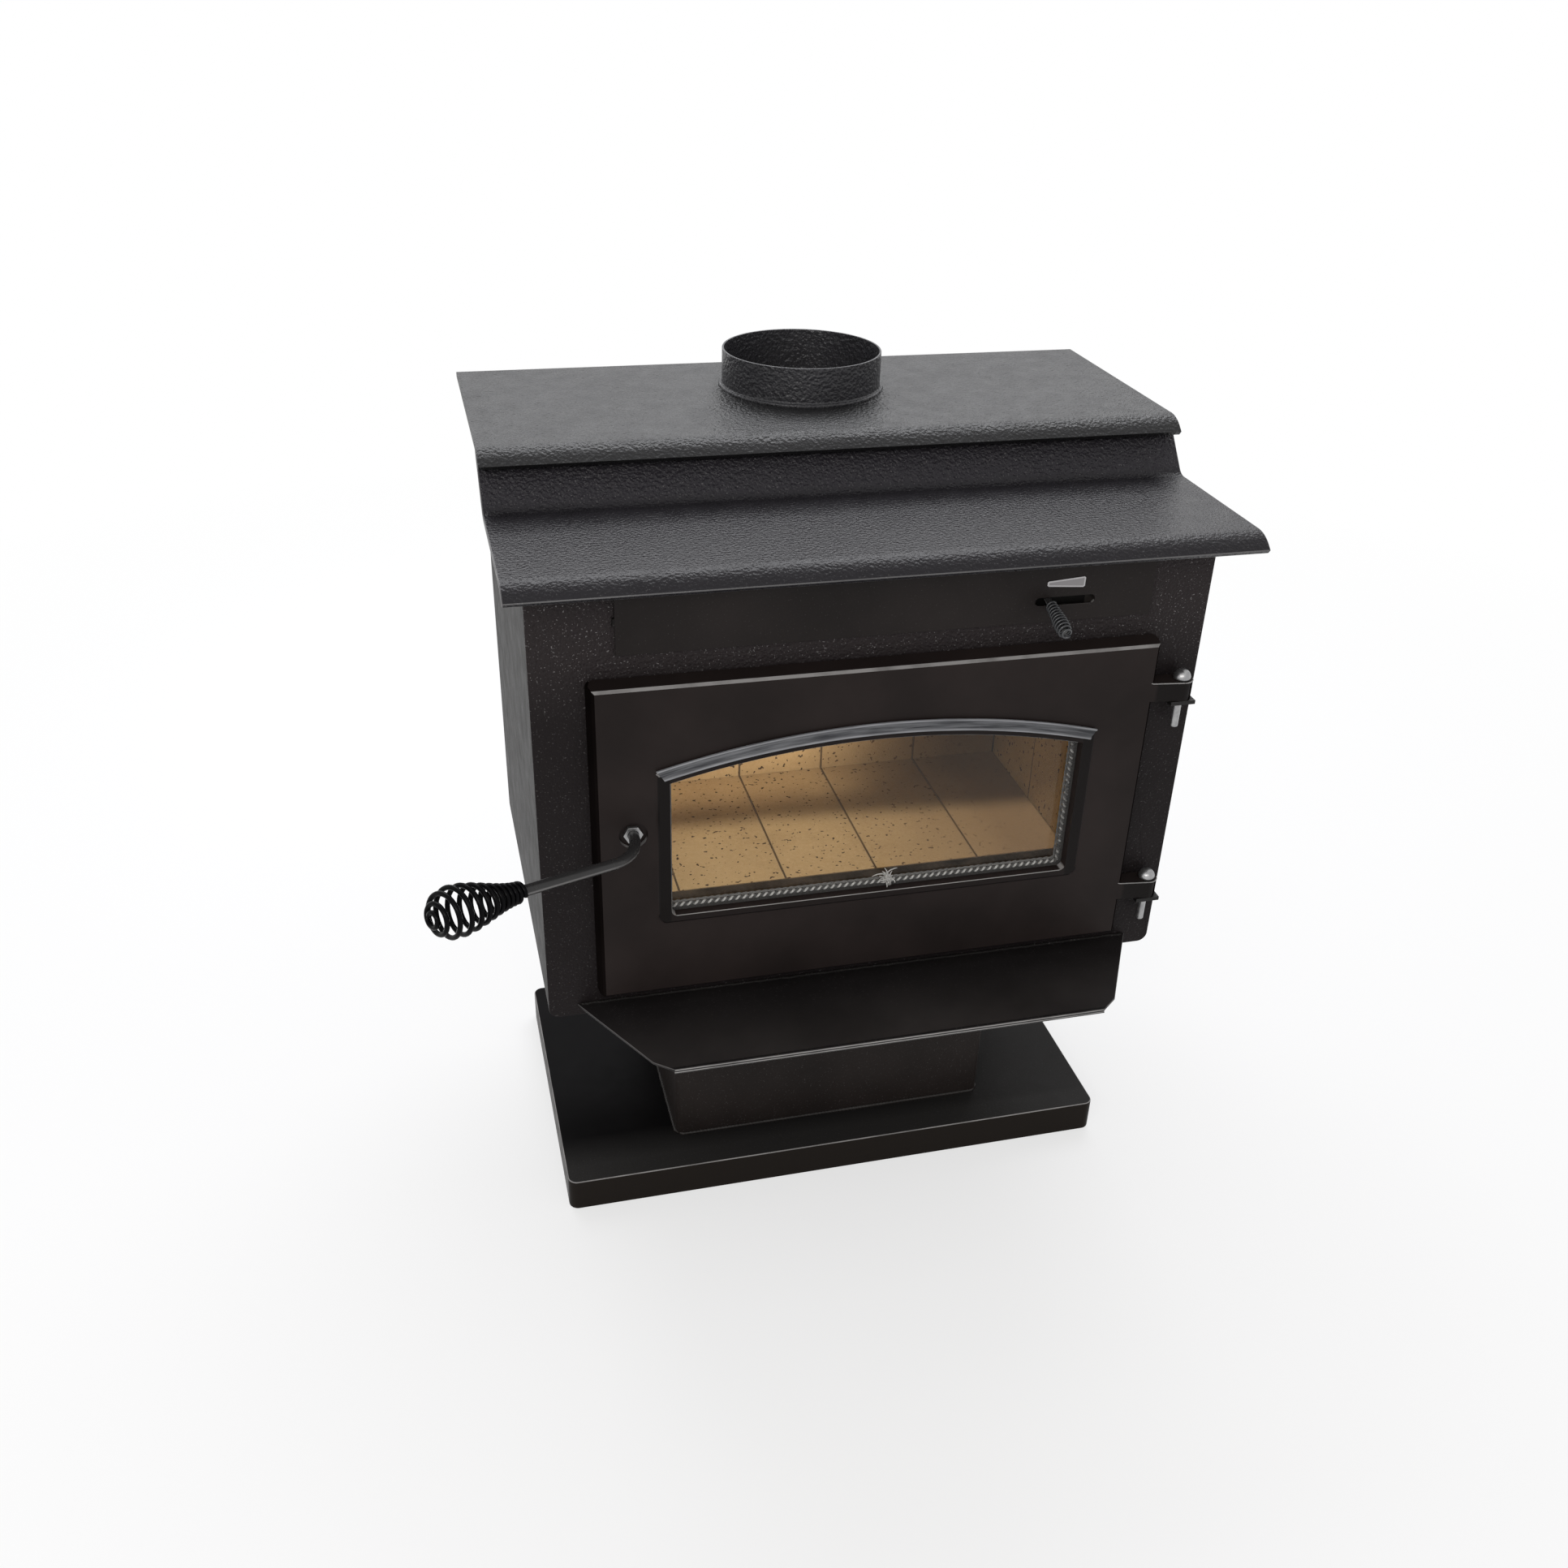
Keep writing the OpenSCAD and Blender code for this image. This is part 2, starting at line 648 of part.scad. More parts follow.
module top_plate() color(iron) difference() {
  across(roof_w) polygon(concat(
    nose(top_bend_y, top_z, nose_r), [[top_back_y, top_z], [top_back_y, top_under_z]],
    reversed(nose(top_bend_y, top_z, nose_r - roof_sheet))));
  translate([0, flue_y, top_under_z - cut])
    cylinder(h = roof_sheet + 2 * cut, r = flue_out_r + flue_gap, $fn = 96);
}

// the collar is rolled from strip, and its weld bead covers the gap in the top plate
module flue_collar() color(iron_light) translate([0, flue_y, 0]) rotate_extrude($fn = 96) polygon([
  [flue_r, top_under_z - flue_drop], [flue_out_r, top_under_z - flue_drop], [flue_out_r, top_z],
  [flue_out_r + weld_leg, top_z], [flue_out_r, top_z + weld_leg],
  [flue_out_r, top_z + flue_rise], [flue_r, top_z + flue_rise]]);

// ---- ash lip ------------------------------------------------------------------------------

module ash_lip() color(iron) {
  top = door_z - lip_drop;
  end_x = body_w / 2 - lip_end;
  front_x = end_x - lip_front_in;
  plan = [[end_x, 0], [end_x - lip_corner_in, -lip_corner_reach], [front_x, -lip_reach]];
  translate([0, front_y, top - lip_sheet]) linear_extrude(lip_sheet)
    polygon(concat(plan, reversed([for (p = plan) [-p[0], p[1]]])));
  box_at(-front_x, front_x, front_y - lip_reach, front_y - lip_reach + lip_hem,
    top - 2 * lip_sheet, top - lip_sheet);
}

// ---- hinges and latch on the firebox ------------------------------------------------------

module hinge_brackets() color(iron) for (z = lug_zs) difference() {
  box_at(hinge_x - lug_r - 2, hinge_x + bracket_out, hinge_y - lug_r, front_y,
    z - run_gap - bracket_t, z - run_gap);
  translate([hinge_x, hinge_y, z - run_gap - bracket_t - cut])
    cylinder(h = bracket_t + 2 * cut, r = hinge_hole_r);
}

// domed bolts that drop in from above and can be lifted out with the door
module hinge_bolts() color(zinc_color) for (z = lug_zs) translate([hinge_x, hinge_y, z]) {
  dome_r = (pow(hinge_head_d / 2, 2) + pow(hinge_head_h, 2)) / (2 * hinge_head_h);
  head_z = lug_h + run_gap + hinge_washer_t;
  translate([0, 0, -hinge_tail]) cylinder(h = hinge_tail + head_z + cut, d = hinge_bolt_d);
  translate([0, 0, lug_h + run_gap]) cylinder(h = hinge_washer_t, d = hinge_head_d);
  intersection() {
    translate([0, 0, head_z + hinge_head_h - dome_r]) sphere(dome_r);
    translate([0, 0, head_z]) cylinder(h = hinge_head_h + cut, d = hinge_head_d + cut);
  }
}

module latch_keeper() color(steel_color)
  box_at(-opening_w / 2 - 2 - keeper_w, -opening_w / 2 - 2, inner_front_y, keeper_y,
    spindle_z - keeper_h / 2, spindle_z + keeper_h / 2);

// ---- primary air: cover, scale plate and air wash channel -----------------------------------

module air_channel_cover() color(iron_light) difference() {
  box_at(-cover_left, cover_right, cover_face_y, front_y, cover_z, cover_top_z);
  box_at(-cover_left - cut, cover_right - cover_sheet, cover_face_y + cover_sheet, front_y + cut,
    cover_z + cover_sheet, cover_top_z - cover_sheet);
  upright(cover_face_y - cut, cover_proud + 2 * cut) translate([slot_x, slot_z]) {
    square([slot_l - slot_h, slot_h], center = true);
    for (x = [-1, 1]) translate([x * (slot_l - slot_h) / 2, 0]) circle(slot_h / 2);
  }
}

// a plain wedge: narrow towards low air, wide towards full air
module air_scale_plate() color("#c9c9c6") upright(cover_face_y - label_t, label_t)
  translate([slot_x - 19, slot_z + slot_h / 2 + 12.9]) polygon([
    [0, -1.3], [1, -2.4], [34.6, -5], [36, -3.8], [36.2, 3.8], [35, 5.1], [1, 2.5], [0, 1.4]]);

module airwash_channel() color(steel_color) difference() {
  box_at(-wash_half_w, wash_half_w, inner_front_y, inner_front_y + wash_depth,
    wash_z, wash_z + wash_h);
  box_at(-wash_half_w + duct_sheet, wash_half_w - duct_sheet, inner_front_y + duct_sheet,
    inner_front_y + wash_depth - duct_sheet, wash_z + duct_sheet, wash_z + wash_h - duct_sheet);
  box_at(-wash_half_w + duct_sheet, wash_half_w - duct_sheet, inner_front_y + duct_sheet,
    inner_front_y + duct_sheet + wash_slit, wash_z - cut, wash_z + duct_sheet + cut);
  box_at(port_x0, port_x1, inner_front_y - cut, inner_front_y + duct_sheet + cut,
    air_window_z + 5, air_window_z + air_window_h - 5);
}

// ---- secondary air: rear duct, manifold, tubes and baffle -----------------------------------

module rear_air_duct() color(iron) difference() {
  box_at(-rear_duct_w / 2, rear_duct_w / 2, back_y, back_y + rear_duct_d,
    body_z + rear_duct_mouth, manifold_z + manifold_s);
  box_at(-rear_duct_w / 2 + duct_sheet, rear_duct_w / 2 - duct_sheet, back_y - cut,
    back_y + rear_duct_d - duct_sheet,
    body_z + rear_duct_mouth - cut, manifold_z + manifold_s - duct_sheet);
}

// one square channel in a U: along the back and forward along both sides
module air_manifold() color(steel_color) difference() {
  box_at(-inner_x, inner_x, manifold_y, inner_back_y, manifold_z, manifold_z + manifold_s);
  box_at(-manifold_x, manifold_x, manifold_y - cut, inner_back_y - manifold_s,
    manifold_z - cut, manifold_z + manifold_s + cut);
  box_at(-inner_x + duct_sheet, inner_x - duct_sheet, inner_back_y - manifold_s + duct_sheet,
    inner_back_y - duct_sheet, manifold_z + duct_sheet, manifold_z + manifold_s - duct_sheet);
  for (x = [-inner_x + duct_sheet, manifold_x + duct_sheet])
    box_at(x, x + manifold_s - 2 * duct_sheet, manifold_y + duct_sheet, inner_back_y - duct_sheet,
      manifold_z + duct_sheet, manifold_z + manifold_s - duct_sheet);
  box_at(-feed_w / 2, feed_w / 2, inner_back_y - duct_sheet - cut, inner_back_y + cut,
    tube_z - feed_h / 2, tube_z + feed_h / 2);
  for (y = tube_ys, x = [-manifold_x - duct_sheet - cut, manifold_x - cut])
    translate([x, y, tube_z]) rotate([0, 90, 0])
      cylinder(h = duct_sheet + 2 * cut, r = tube_d / 2 + tube_gap);
}

module air_tubes() color(steel_color) for (y = tube_ys) translate([0, y, tube_z]) difference() {
  half = manifold_x + tube_entry;
  rotate([0, 90, 0]) cylinder(h = 2 * half, d = tube_d, center = true);
  rotate([0, 90, 0]) cylinder(h = 2 * half + 2 * cut, d = tube_d - 2 * tube_wall, center = true);
  for (i = [0:tube_holes - 1])
    translate([(i - (tube_holes - 1) / 2) * 2 * (manifold_x - tube_plain) / tube_holes, 0, 0])
      rotate([120, 0, 0]) cylinder(h = tube_d, d = tube_hole_d);
  translate([-pin_x, 0, 0]) cylinder(h = 2 * tube_d, d = pin_d + 2 * fixed_gap, center = true);
}

module tube_pins() color(zinc_color) for (y = tube_ys)
  translate([-pin_x, y, tube_z]) cylinder(h = tube_d + 6, d = pin_d, center = true);

module baffle_boards() color("#d8d2c4") for (x = [-1, 1])
  translate([x * (inner_x / 2), (manifold_y - baffle_front + inner_back_y) / 2, baffle_z + baffle_t / 2])
    cube([inner_x - brick_joint, inner_back_y - manifold_y + baffle_front, baffle_t], center = true);

module baffle_blanket() color("#e6e3da")
  box_at(-inner_x + 4, inner_x - 4, inner_back_y - blanket_d, inner_back_y - 1,
    baffle_z + baffle_t, baffle_z + baffle_t + blanket_t);

// ---- lining -------------------------------------------------------------------------------

// a bent sheet that holds the floor bricks and makes the hearth level as far as the door
module hearth_ledge() color(steel_color) {
  box_at(-side_brick_x + 1, side_brick_x - 1, inner_front_y, ledge_back_y,
    brick_top_z - ledge_sheet, brick_top_z);
  box_at(-side_brick_x + 1, side_brick_x - 1, ledge_back_y - ledge_sheet, ledge_back_y,
    floor_z, brick_top_z - ledge_sheet);
}

// a row of bricks across the firebox, of the row's own widths
module brick_row(y0, y1, z0, z1) {
  for (i = [0:len(row_widths) - 1]) {
    before = [for (k = [0:1:i - 1]) row_widths[k] + brick_joint];
    x = brick_joint - side_brick_x + (i == 0 ? 0 : before * [for (b = before) 1]);
    box_at(x, x + row_widths[i], y0, y1, z0, z1);
  }
}

module floor_bricks() color(brick_color) brick_row(ledge_back_y, back_brick_y, floor_z, brick_top_z);

module back_bricks() color(brick_color) {
  brick_row(back_brick_y, inner_back_y, floor_z, floor_z + brick_l);
  brick_row(back_brick_y, inner_back_y, floor_z + brick_l + brick_joint, lining_top_z);
}

// three upright bricks, with one and a half laid over them
module side_bricks(x) {
  for (i = [0:2]) {
    y1 = back_brick_y - brick_joint - i * (brick_w + brick_joint);
    box_at(x, x + brick_t, y1 - brick_w, y1, floor_z + shell_corner_r - plate_t, floor_z + brick_l);
  }
  y2 = back_brick_y - brick_joint;
  box_at(x, x + brick_t, y2 - brick_l, y2, floor_z + brick_l + brick_joint, lining_top_z);
  box_at(x, x + brick_t, y2 - brick_l - brick_joint - brick_w, y2 - brick_l - brick_joint,
    floor_z + brick_l + brick_joint, lining_top_z);
}

module left_bricks() color(brick_color) side_bricks(-inner_x);

module right_bricks() color(brick_color) side_bricks(side_brick_x);

// ---- door ---------------------------------------------------------------------------------

// the door's block: its edges slope back and outwards, and its front edges are chamfered
module door_block() {
  edge_y = door_face_y + door_chamfer;
  wide = door_w / 2 + door_draft;
  low = door_z - door_draft;
  high = door_z + door_h + door_draft;
  intersection() {
    upright(door_face_y, door_t) translate([0, door_z + door_h / 2])
      rounded_rect(2 * wide, high - low, door_corner_r);
    translate([0, 0, low - cut]) linear_extrude(high - low + 2 * cut) polygon([
      [-wide, door_back_y + cut], [-wide, door_back_y], [-door_w / 2, edge_y],
      [door_chamfer - door_w / 2, door_face_y], [door_w / 2 - door_chamfer, door_face_y],
      [door_w / 2, edge_y], [wide, door_back_y], [wide, door_back_y + cut]]);
    across(2 * wide + 2 * cut) polygon([
      [door_back_y + cut, low], [door_back_y, low], [edge_y, door_z],
      [door_face_y, door_z + door_chamfer], [door_face_y, door_z + door_h - door_chamfer],
      [edge_y, door_z + door_h], [door_back_y, high], [door_back_y + cut, high]]);
  }
}

// a band round the door's edge, in [x, z], between two distances from the edge
module edge_band(outer, inner) translate([0, door_z + door_h / 2]) difference() {
  rounded_rect(door_w - 2 * outer, door_h - 2 * outer, door_corner_r);
  rounded_rect(door_w - 2 * inner, door_h - 2 * inner, door_corner_r - 1);
}

module clip_places() for (x = [-clip_x, clip_x]) {
  translate([x, 0, glass_z]) children();
  translate([x, 0, glass_z + glass_h]) mirror([0, 0, 1]) children();
}

module door_casting() color(iron) difference() {
  union() {
    door_block();
    upright(door_face_y - window_frame_proud, window_frame_proud + cut) intersection() {
      window_outline(window_frame_w);
      translate([-window_w, window_z - window_frame_sill]) square([2 * window_w, door_h]);
    }
    for (z = lug_zs) {
      translate([0, 0, z]) linear_extrude(lug_h) polygon([
        [door_w / 2 - 8, door_back_y - 0.5], [door_w / 2 - 8, door_face_y + door_chamfer],
        [door_w / 2 - 5, door_face_y], [hinge_x, hinge_y - lug_r],
        [hinge_x + lug_r / 2, hinge_y], [hinge_x, door_back_y - 0.5]]);
      translate([hinge_x, hinge_y, z]) cylinder(h = lug_h, r = lug_r);
    }
    rod_y(spindle_x, spindle_z, cam_hub_r, door_back_y - cut, keeper_y);
  }
  upright(door_face_y - window_frame_proud - cut, door_t + window_frame_proud + 2 * cut)
    window_outline(0);
  upright(glass_seat_y, door_t) translate([0, glass_z + glass_h / 2])
    square([glass_w + 2 * glass_gap, glass_h + 2 * glass_gap], center = true);
  upright(door_back_y - door_gasket_depth, door_gasket_depth + cut)
    edge_band(door_gasket_inset, door_gasket_inset + door_gasket_w);
  for (z = [[door_z + 24, glass_z - 16], [glass_z + glass_h + 16, door_z + door_h - 24]])
    if (z[1] > z[0] + 2) box_at(-pocket_x, pocket_x, glass_seat_y, door_back_y + cut, z[0], z[1]);
  for (z = lug_zs) translate([hinge_x, hinge_y, z - cut])
    cylinder(h = lug_h + 2 * cut, r = hinge_hole_r);
  rod_y(spindle_x, spindle_z, recess_d / 2, door_face_y - cut, door_face_y + recess_depth);
  rod_y(spindle_x, spindle_z, rod_d / 2 + spindle_play, door_face_y, keeper_y + cut);
  clip_places() translate([0, 0, -clip_screw_off])
    rod_y(0, 0, clip_screw_r, door_back_y - clip_screw_l, door_back_y + cut);
}

// an arched band over the window, in [x, z], between two heights above the window's arc
module arch_band_shape(g0, g1) {
  half = window_w / 2 + window_frame_w;
  tip_z = sqrt(pow(arch_r + arch_gap + arch_band, 2) - half * half);
  intersection() {
    translate([0, arch_z]) difference() {
      circle(arch_r + g1, $fn = 180);
      circle(arch_r + g0, $fn = 180);
    }
    translate([0, arch_z + tip_z]) polygon([[0, -half / tan(arch_mitre)],
      [half * 2, half / tan(arch_mitre)], [-half * 2, half / tan(arch_mitre)]]);
  }
}

// the drip edge over the window: a stepped moulding on the window's own arc
module arch_moulding() color("#3a3735") {
  mid = arch_gap + arch_band / 2;
  upright(door_face_y - arch_proud, arch_proud - window_frame_proud) arch_band_shape(arch_gap, mid);
  upright(door_face_y - arch_proud / 2 - 1, arch_proud / 2 + 1 - window_frame_proud)
    arch_band_shape(mid, arch_gap + arch_band);
}

module door_glass() color("#3c3a38", 0.4) upright(door_back_y - glass_t, glass_t)
  translate([0, glass_z + glass_h / 2]) square([glass_w, glass_h], center = true);

module glass_gasket() color(rope_color) upright(glass_seat_y, glass_gasket_t) difference() {
  window_outline(glass_lap / 3);
  window_outline(-glass_gasket_show);
}

module door_gasket() color(rope_color)
  upright(door_back_y - door_gasket_depth, door_gasket_depth + door_gap - run_gap)
    edge_band(door_gasket_inset + gasket_play, door_gasket_inset + door_gasket_w - gasket_play);

module glass_clips() color(zinc_color) clip_places() difference() {
  translate([-clip_w / 2, door_back_y, -clip_h / 2 - 3]) cube([clip_w, clip_t, clip_h]);
  translate([0, 0, -clip_screw_off])
    rod_y(0, 0, clip_screw_r + fixed_gap, door_back_y - cut, door_back_y + clip_t + cut);
}

module clip_screws() color(zinc_color) clip_places() translate([0, 0, -clip_screw_off]) {
  rod_y(0, 0, clip_screw_r - fixed_gap / 2, door_back_y - clip_screw_l + 1, door_back_y + clip_t + 1);
  rod_y(0, 0, clip_screw_r * 1.8, door_back_y + clip_t, door_back_y + clip_t + 3);
}

// ---- handle and latch ---------------------------------------------------------------------

// the handle's own frame: +X along the arm's direction seen from the front, +Y out of the door
module at_handle() translate([spindle_x, door_face_y, spindle_z])
  rotate([0, arm_rise, 0]) rotate([0, 0, 180]) children();

// the arm's frame: +X along the arm, from the end of the bend
module at_arm() at_handle()
  translate([rod_bend_r * (1 - sin(arm_lean)), rod_lead + rod_bend_r * cos(arm_lean), 0])
    rotate([0, 0, arm_lean]) children();

module handle_rod() color(iron_light) {
  at_handle() {
    translate([0, door_face_y - spindle_back_y, 0]) rotate([-90, 0, 0])
      cylinder(h = spindle_back_y - door_face_y + rod_lead + rod_joint, d = rod_d);
    translate([rod_bend_r, rod_lead, 0]) rotate([0, 0, 90 + arm_lean])
      rotate_extrude(angle = 90 - arm_lean) translate([rod_bend_r, 0]) circle(rod_d / 2 + bend_swell);
  }
  at_arm() translate([-rod_joint, 0, 0]) rotate([0, 90, 0])
    cylinder(h = arm_l + grip_cone_l / 3 + rod_joint, d = rod_d);
}

// [along, radius] of the grip's wire at distance m along its outline: a flared neck, then a ball
function grip_outline(m) = m < grip_cone_l
  ? let (s = m / grip_cone_l) [m, grip_neck_r + (grip_ball_r - grip_neck_r) * s * s * (3 - 2 * s)]
  : let (a = (m - grip_cone_l) / grip_ball_r * 180 / PI)
    [grip_cone_l + grip_ball_r * sin(a), grip_ball_r * cos(a)];

module handle_coil() color("#111111") {
  steps = 18;
  count = grip_turns * steps;
  reach = grip_cone_l + grip_ball_r * acos(0.85 * grip_wire / grip_ball_r) * PI / 180;
  even = 0.61; // share of the pitch that stays even: the turns lie close at the neck and open on the ball
  path = [for (i = [0:count])
    let (s = i / count, o = grip_outline(reach * (even * s + (1 - even) * pow(s, 4) * (5 - 4 * s))),
         a = 360 * i / steps)
    [o[0], o[1] * cos(a), o[1] * sin(a) - grip_sag * pow(o[0] / grip_cone_l, 2)]];
  at_arm() translate([arm_l, 0, 0]) wire(path, grip_wire / 2);
}

module recess_nut() color(zinc_color) difference() {
  hex_y(spindle_x, spindle_z, nut_af,
    door_face_y + recess_depth - run_gap - nut_t, door_face_y + recess_depth - run_gap);
  rod_y(spindle_x, spindle_z, rod_d / 2 + fixed_gap, door_face_y - nut_t, door_face_y + 2 * nut_t);
}

// released, the cam points up; the handle's downward throw turns it behind the keeper
module latch_cam() color(steel_color) difference() {
  union() {
    rod_y(spindle_x, spindle_z, cam_hub_r, cam_y, cam_y + cam_t);
    box_at(spindle_x - cam_w / 2, spindle_x + cam_w / 2, cam_y, cam_y + cam_t,
      spindle_z, spindle_z + cam_l - cam_w / 2);
    rod_y(spindle_x, spindle_z + cam_l - cam_w / 2, cam_w / 2, cam_y, cam_y + cam_t);
  }
  rod_y(spindle_x, spindle_z, rod_d / 2 + fixed_gap, cam_y - cut, cam_y + cam_t + cut);
}

module latch_nut() color(zinc_color) difference() {
  hex_y(spindle_x, spindle_z, nut_af, latch_nut_y, latch_nut_y + latch_nut_t);
  rod_y(spindle_x, spindle_z, rod_d / 2 + fixed_gap, latch_nut_y - cut, latch_nut_y + latch_nut_t + cut);
}

// ---- air control --------------------------------------------------------------------------

// a plate that slides along the air window's lower edge and covers the port behind it
module air_slide() color(steel_color)
  box_at(slide_x0, slide_x1, slide_y, slide_y + slide_t,
    air_window_z + run_gap, air_window_z + air_window_h - run_gap);

// the rod's frame: +X along the rod, from the slide's face outwards
module at_control() translate([control_x, slide_y, slot_z + (slide_y - cover_face_y) * tan(control_tilt)])
  rotate([0, 0, -90]) rotate([0, control_tilt, 0]) children();

module control_rod() color("#1b1b1b") difference() {
  at_control() translate([-cut, 0, 0]) rotate([0, 90, 0])
    cylinder(h = control_l - 2 * control_wire, d = control_rod_d);
  box_at(control_x - 10, control_x + 10, slide_y, slide_y + 10, slot_z - 20, slot_z + 20);
}

module control_coil() color("#141414") {
  steps = 14;
  count = control_turns * steps;
  first = control_start + cover_proud;
  length = control_l - first;
  bulge = (control_coil_d - control_wire) / 2 - control_neck_r;
  path = [for (i = [0:count])
    let (s = i / count, a = 360 * i / steps,
         r = s < 0.9 ? control_neck_r + bulge * sin(180 * min(1, s / 0.95))
                     : (control_neck_r + bulge * sin(180 * 0.9 / 0.95)) * (1 - (s - 0.9) * 5))
    [first + length * s, r * cos(a), r * sin(a)]];
  at_control() wire(path, control_wire / 2);
}

base_plate();
pedestal_column();
firebox_shell();
front_plate();
back_plate();
step_plate();
top_plate();
flue_collar();
ash_lip();
hinge_brackets();
hinge_bolts();
latch_keeper();
air_channel_cover();
air_scale_plate();
airwash_channel();
air_manifold();
air_tubes();
tube_pins();
rear_air_duct();
baffle_boards();
baffle_blanket();
hearth_ledge();
floor_bricks();
back_bricks();
left_bricks();
right_bricks();
door_casting();
arch_moulding();
door_glass();
glass_gasket();
door_gasket();
glass_clips();
clip_screws();
handle_rod();
handle_coil();
recess_nut();
latch_cam();
latch_nut();
air_slide();
control_rod();
control_coil();
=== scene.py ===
import json
import math
import random
import bpy
from mathutils import Matrix, Vector, noise

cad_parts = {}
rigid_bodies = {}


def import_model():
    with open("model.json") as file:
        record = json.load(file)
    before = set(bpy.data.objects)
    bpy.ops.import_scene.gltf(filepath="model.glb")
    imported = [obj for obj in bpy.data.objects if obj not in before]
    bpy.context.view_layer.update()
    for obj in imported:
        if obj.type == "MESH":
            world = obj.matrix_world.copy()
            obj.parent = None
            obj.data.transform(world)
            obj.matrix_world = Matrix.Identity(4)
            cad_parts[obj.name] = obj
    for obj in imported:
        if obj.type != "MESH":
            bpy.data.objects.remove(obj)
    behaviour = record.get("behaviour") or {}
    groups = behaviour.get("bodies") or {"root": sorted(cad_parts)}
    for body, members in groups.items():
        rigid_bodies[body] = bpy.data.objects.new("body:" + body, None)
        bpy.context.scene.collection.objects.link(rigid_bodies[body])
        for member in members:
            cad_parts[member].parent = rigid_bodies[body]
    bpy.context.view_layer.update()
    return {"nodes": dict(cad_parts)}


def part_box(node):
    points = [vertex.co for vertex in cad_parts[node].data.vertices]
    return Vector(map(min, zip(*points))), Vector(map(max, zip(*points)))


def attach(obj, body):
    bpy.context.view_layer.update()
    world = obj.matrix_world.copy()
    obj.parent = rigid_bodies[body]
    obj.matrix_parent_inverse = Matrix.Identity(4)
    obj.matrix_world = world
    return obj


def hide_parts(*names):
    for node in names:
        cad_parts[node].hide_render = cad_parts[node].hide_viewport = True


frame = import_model()
nodes = frame["nodes"]

# ---- Camera -------------------------------------------------------------------------------
# A hand-held view from the left of the stove's middle, looking down at its top and its door.
# The lens is a normal one, and the small shift is the framing's own.

bpy.ops.object.camera_add(location=(-0.3988, -1.3640, 1.2036),
                          rotation=[math.radians(a) for a in (58.944, -1.542, -14.082)])
camera = bpy.context.object
camera.name = "camera"
camera.data.sensor_width = 36
camera.data.lens = 34.94
camera.data.shift_x = 0.0012
camera.data.shift_y = 0.0227
camera.data.clip_start = 0.01
bpy.context.scene.camera = camera
bpy.context.scene.view_settings.view_transform = "Standard"

# ---- Studio -------------------------------------------------------------------------------
# A plain white floor that runs into a white room, with one wide soft light over the back of
# the stove, one over its front and a small one for the glints. Two lamps inside the firebox
# stand for the room's light that falls on the bricks through the window.


def new_material(name):
    material = bpy.data.materials.new(name)
    material.use_nodes = True
    return material, material.node_tree, material.node_tree.nodes["Principled BSDF"]


def add_node(tree, kind, inputs=(), **settings):
    node = tree.nodes.new(kind)
    for key, value in settings.items():
        setattr(node, key, value)
    for key, value in dict(inputs).items():
        if isinstance(value, bpy.types.NodeSocket):
            tree.links.new(value, node.inputs[key])
        else:
            node.inputs[key].default_value = value
    return node


def reckon(tree, operation, first, second):
    return add_node(tree, "ShaderNodeMath", {0: first, 1: second}, operation=operation).outputs[0]


def spread(tree, value, low, high, out_low=0.0, out_high=1.0):
    """The value between low and high, stretched to another range and cut off outside it."""
    ranged = add_node(tree, "ShaderNodeMapRange",
                      {"Value": value, "From Min": low, "From Max": high, "To Min": out_low,
                       "To Max": out_high})
    return ranged.outputs["Result"]


def seen_directly(tree):
    """1 for what the camera, a gloss or a glass sees, and 0 for what lights the stove."""
    path = tree.nodes.new("ShaderNodeLightPath")
    total = reckon(tree, "MAXIMUM", path.outputs["Is Camera Ray"], path.outputs["Is Glossy Ray"])
    return reckon(tree, "MAXIMUM", total, path.outputs["Is Transmission Ray"])


room_light = 0.60
floor_shade, floor_reach = 0.62, (0.7, 2.4)
world = bpy.context.scene.world or bpy.data.worlds.new("room")
bpy.context.scene.world = world
world.use_nodes = True
tree = world.node_tree
tree.nodes.clear()
room = add_node(tree, "ShaderNodeBackground", {"Color": (1, 1, 1, 1), "Strength": room_light})
shown = add_node(tree, "ShaderNodeBackground", {"Color": (1, 1, 1, 1), "Strength": 1.0})
mixed = add_node(tree, "ShaderNodeMixShader",
                 {0: seen_directly(tree), 1: room.outputs[0], 2: shown.outputs[0]})
add_node(tree, "ShaderNodeOutputWorld", {"Surface": mixed.outputs[0]})

floor_size = 30
bpy.ops.mesh.primitive_plane_add(size=floor_size, location=(0, 0, 0))
floor = bpy.context.object
floor.name = "floor"
floor_color = (0.88, 0.88, 0.88, 1)
floor_paint, tree, shader = new_material("white_floor")
shader.inputs["Base Color"].default_value = floor_color
shader.inputs["Roughness"].default_value = 0.9
shader.inputs["Specular IOR Level"].default_value = 0.1
place = add_node(tree, "ShaderNodeTexCoord")
away = add_node(tree, "ShaderNodeVectorMath", {0: place.outputs["Object"]}, operation="LENGTH")
fade = spread(tree, away.outputs["Value"], *floor_reach, floor_shade, 1.0)
glow = add_node(tree, "ShaderNodeEmission", {"Strength": 1.0})
mixed = add_node(tree, "ShaderNodeMixShader",
                 {0: reckon(tree, "MULTIPLY", seen_directly(tree), fade),
                  1: shader.outputs[0], 2: glow.outputs[0]})
tree.links.new(mixed.outputs[0], tree.nodes["Material Output"].inputs["Surface"])
floor.data.materials.append(floor_paint)

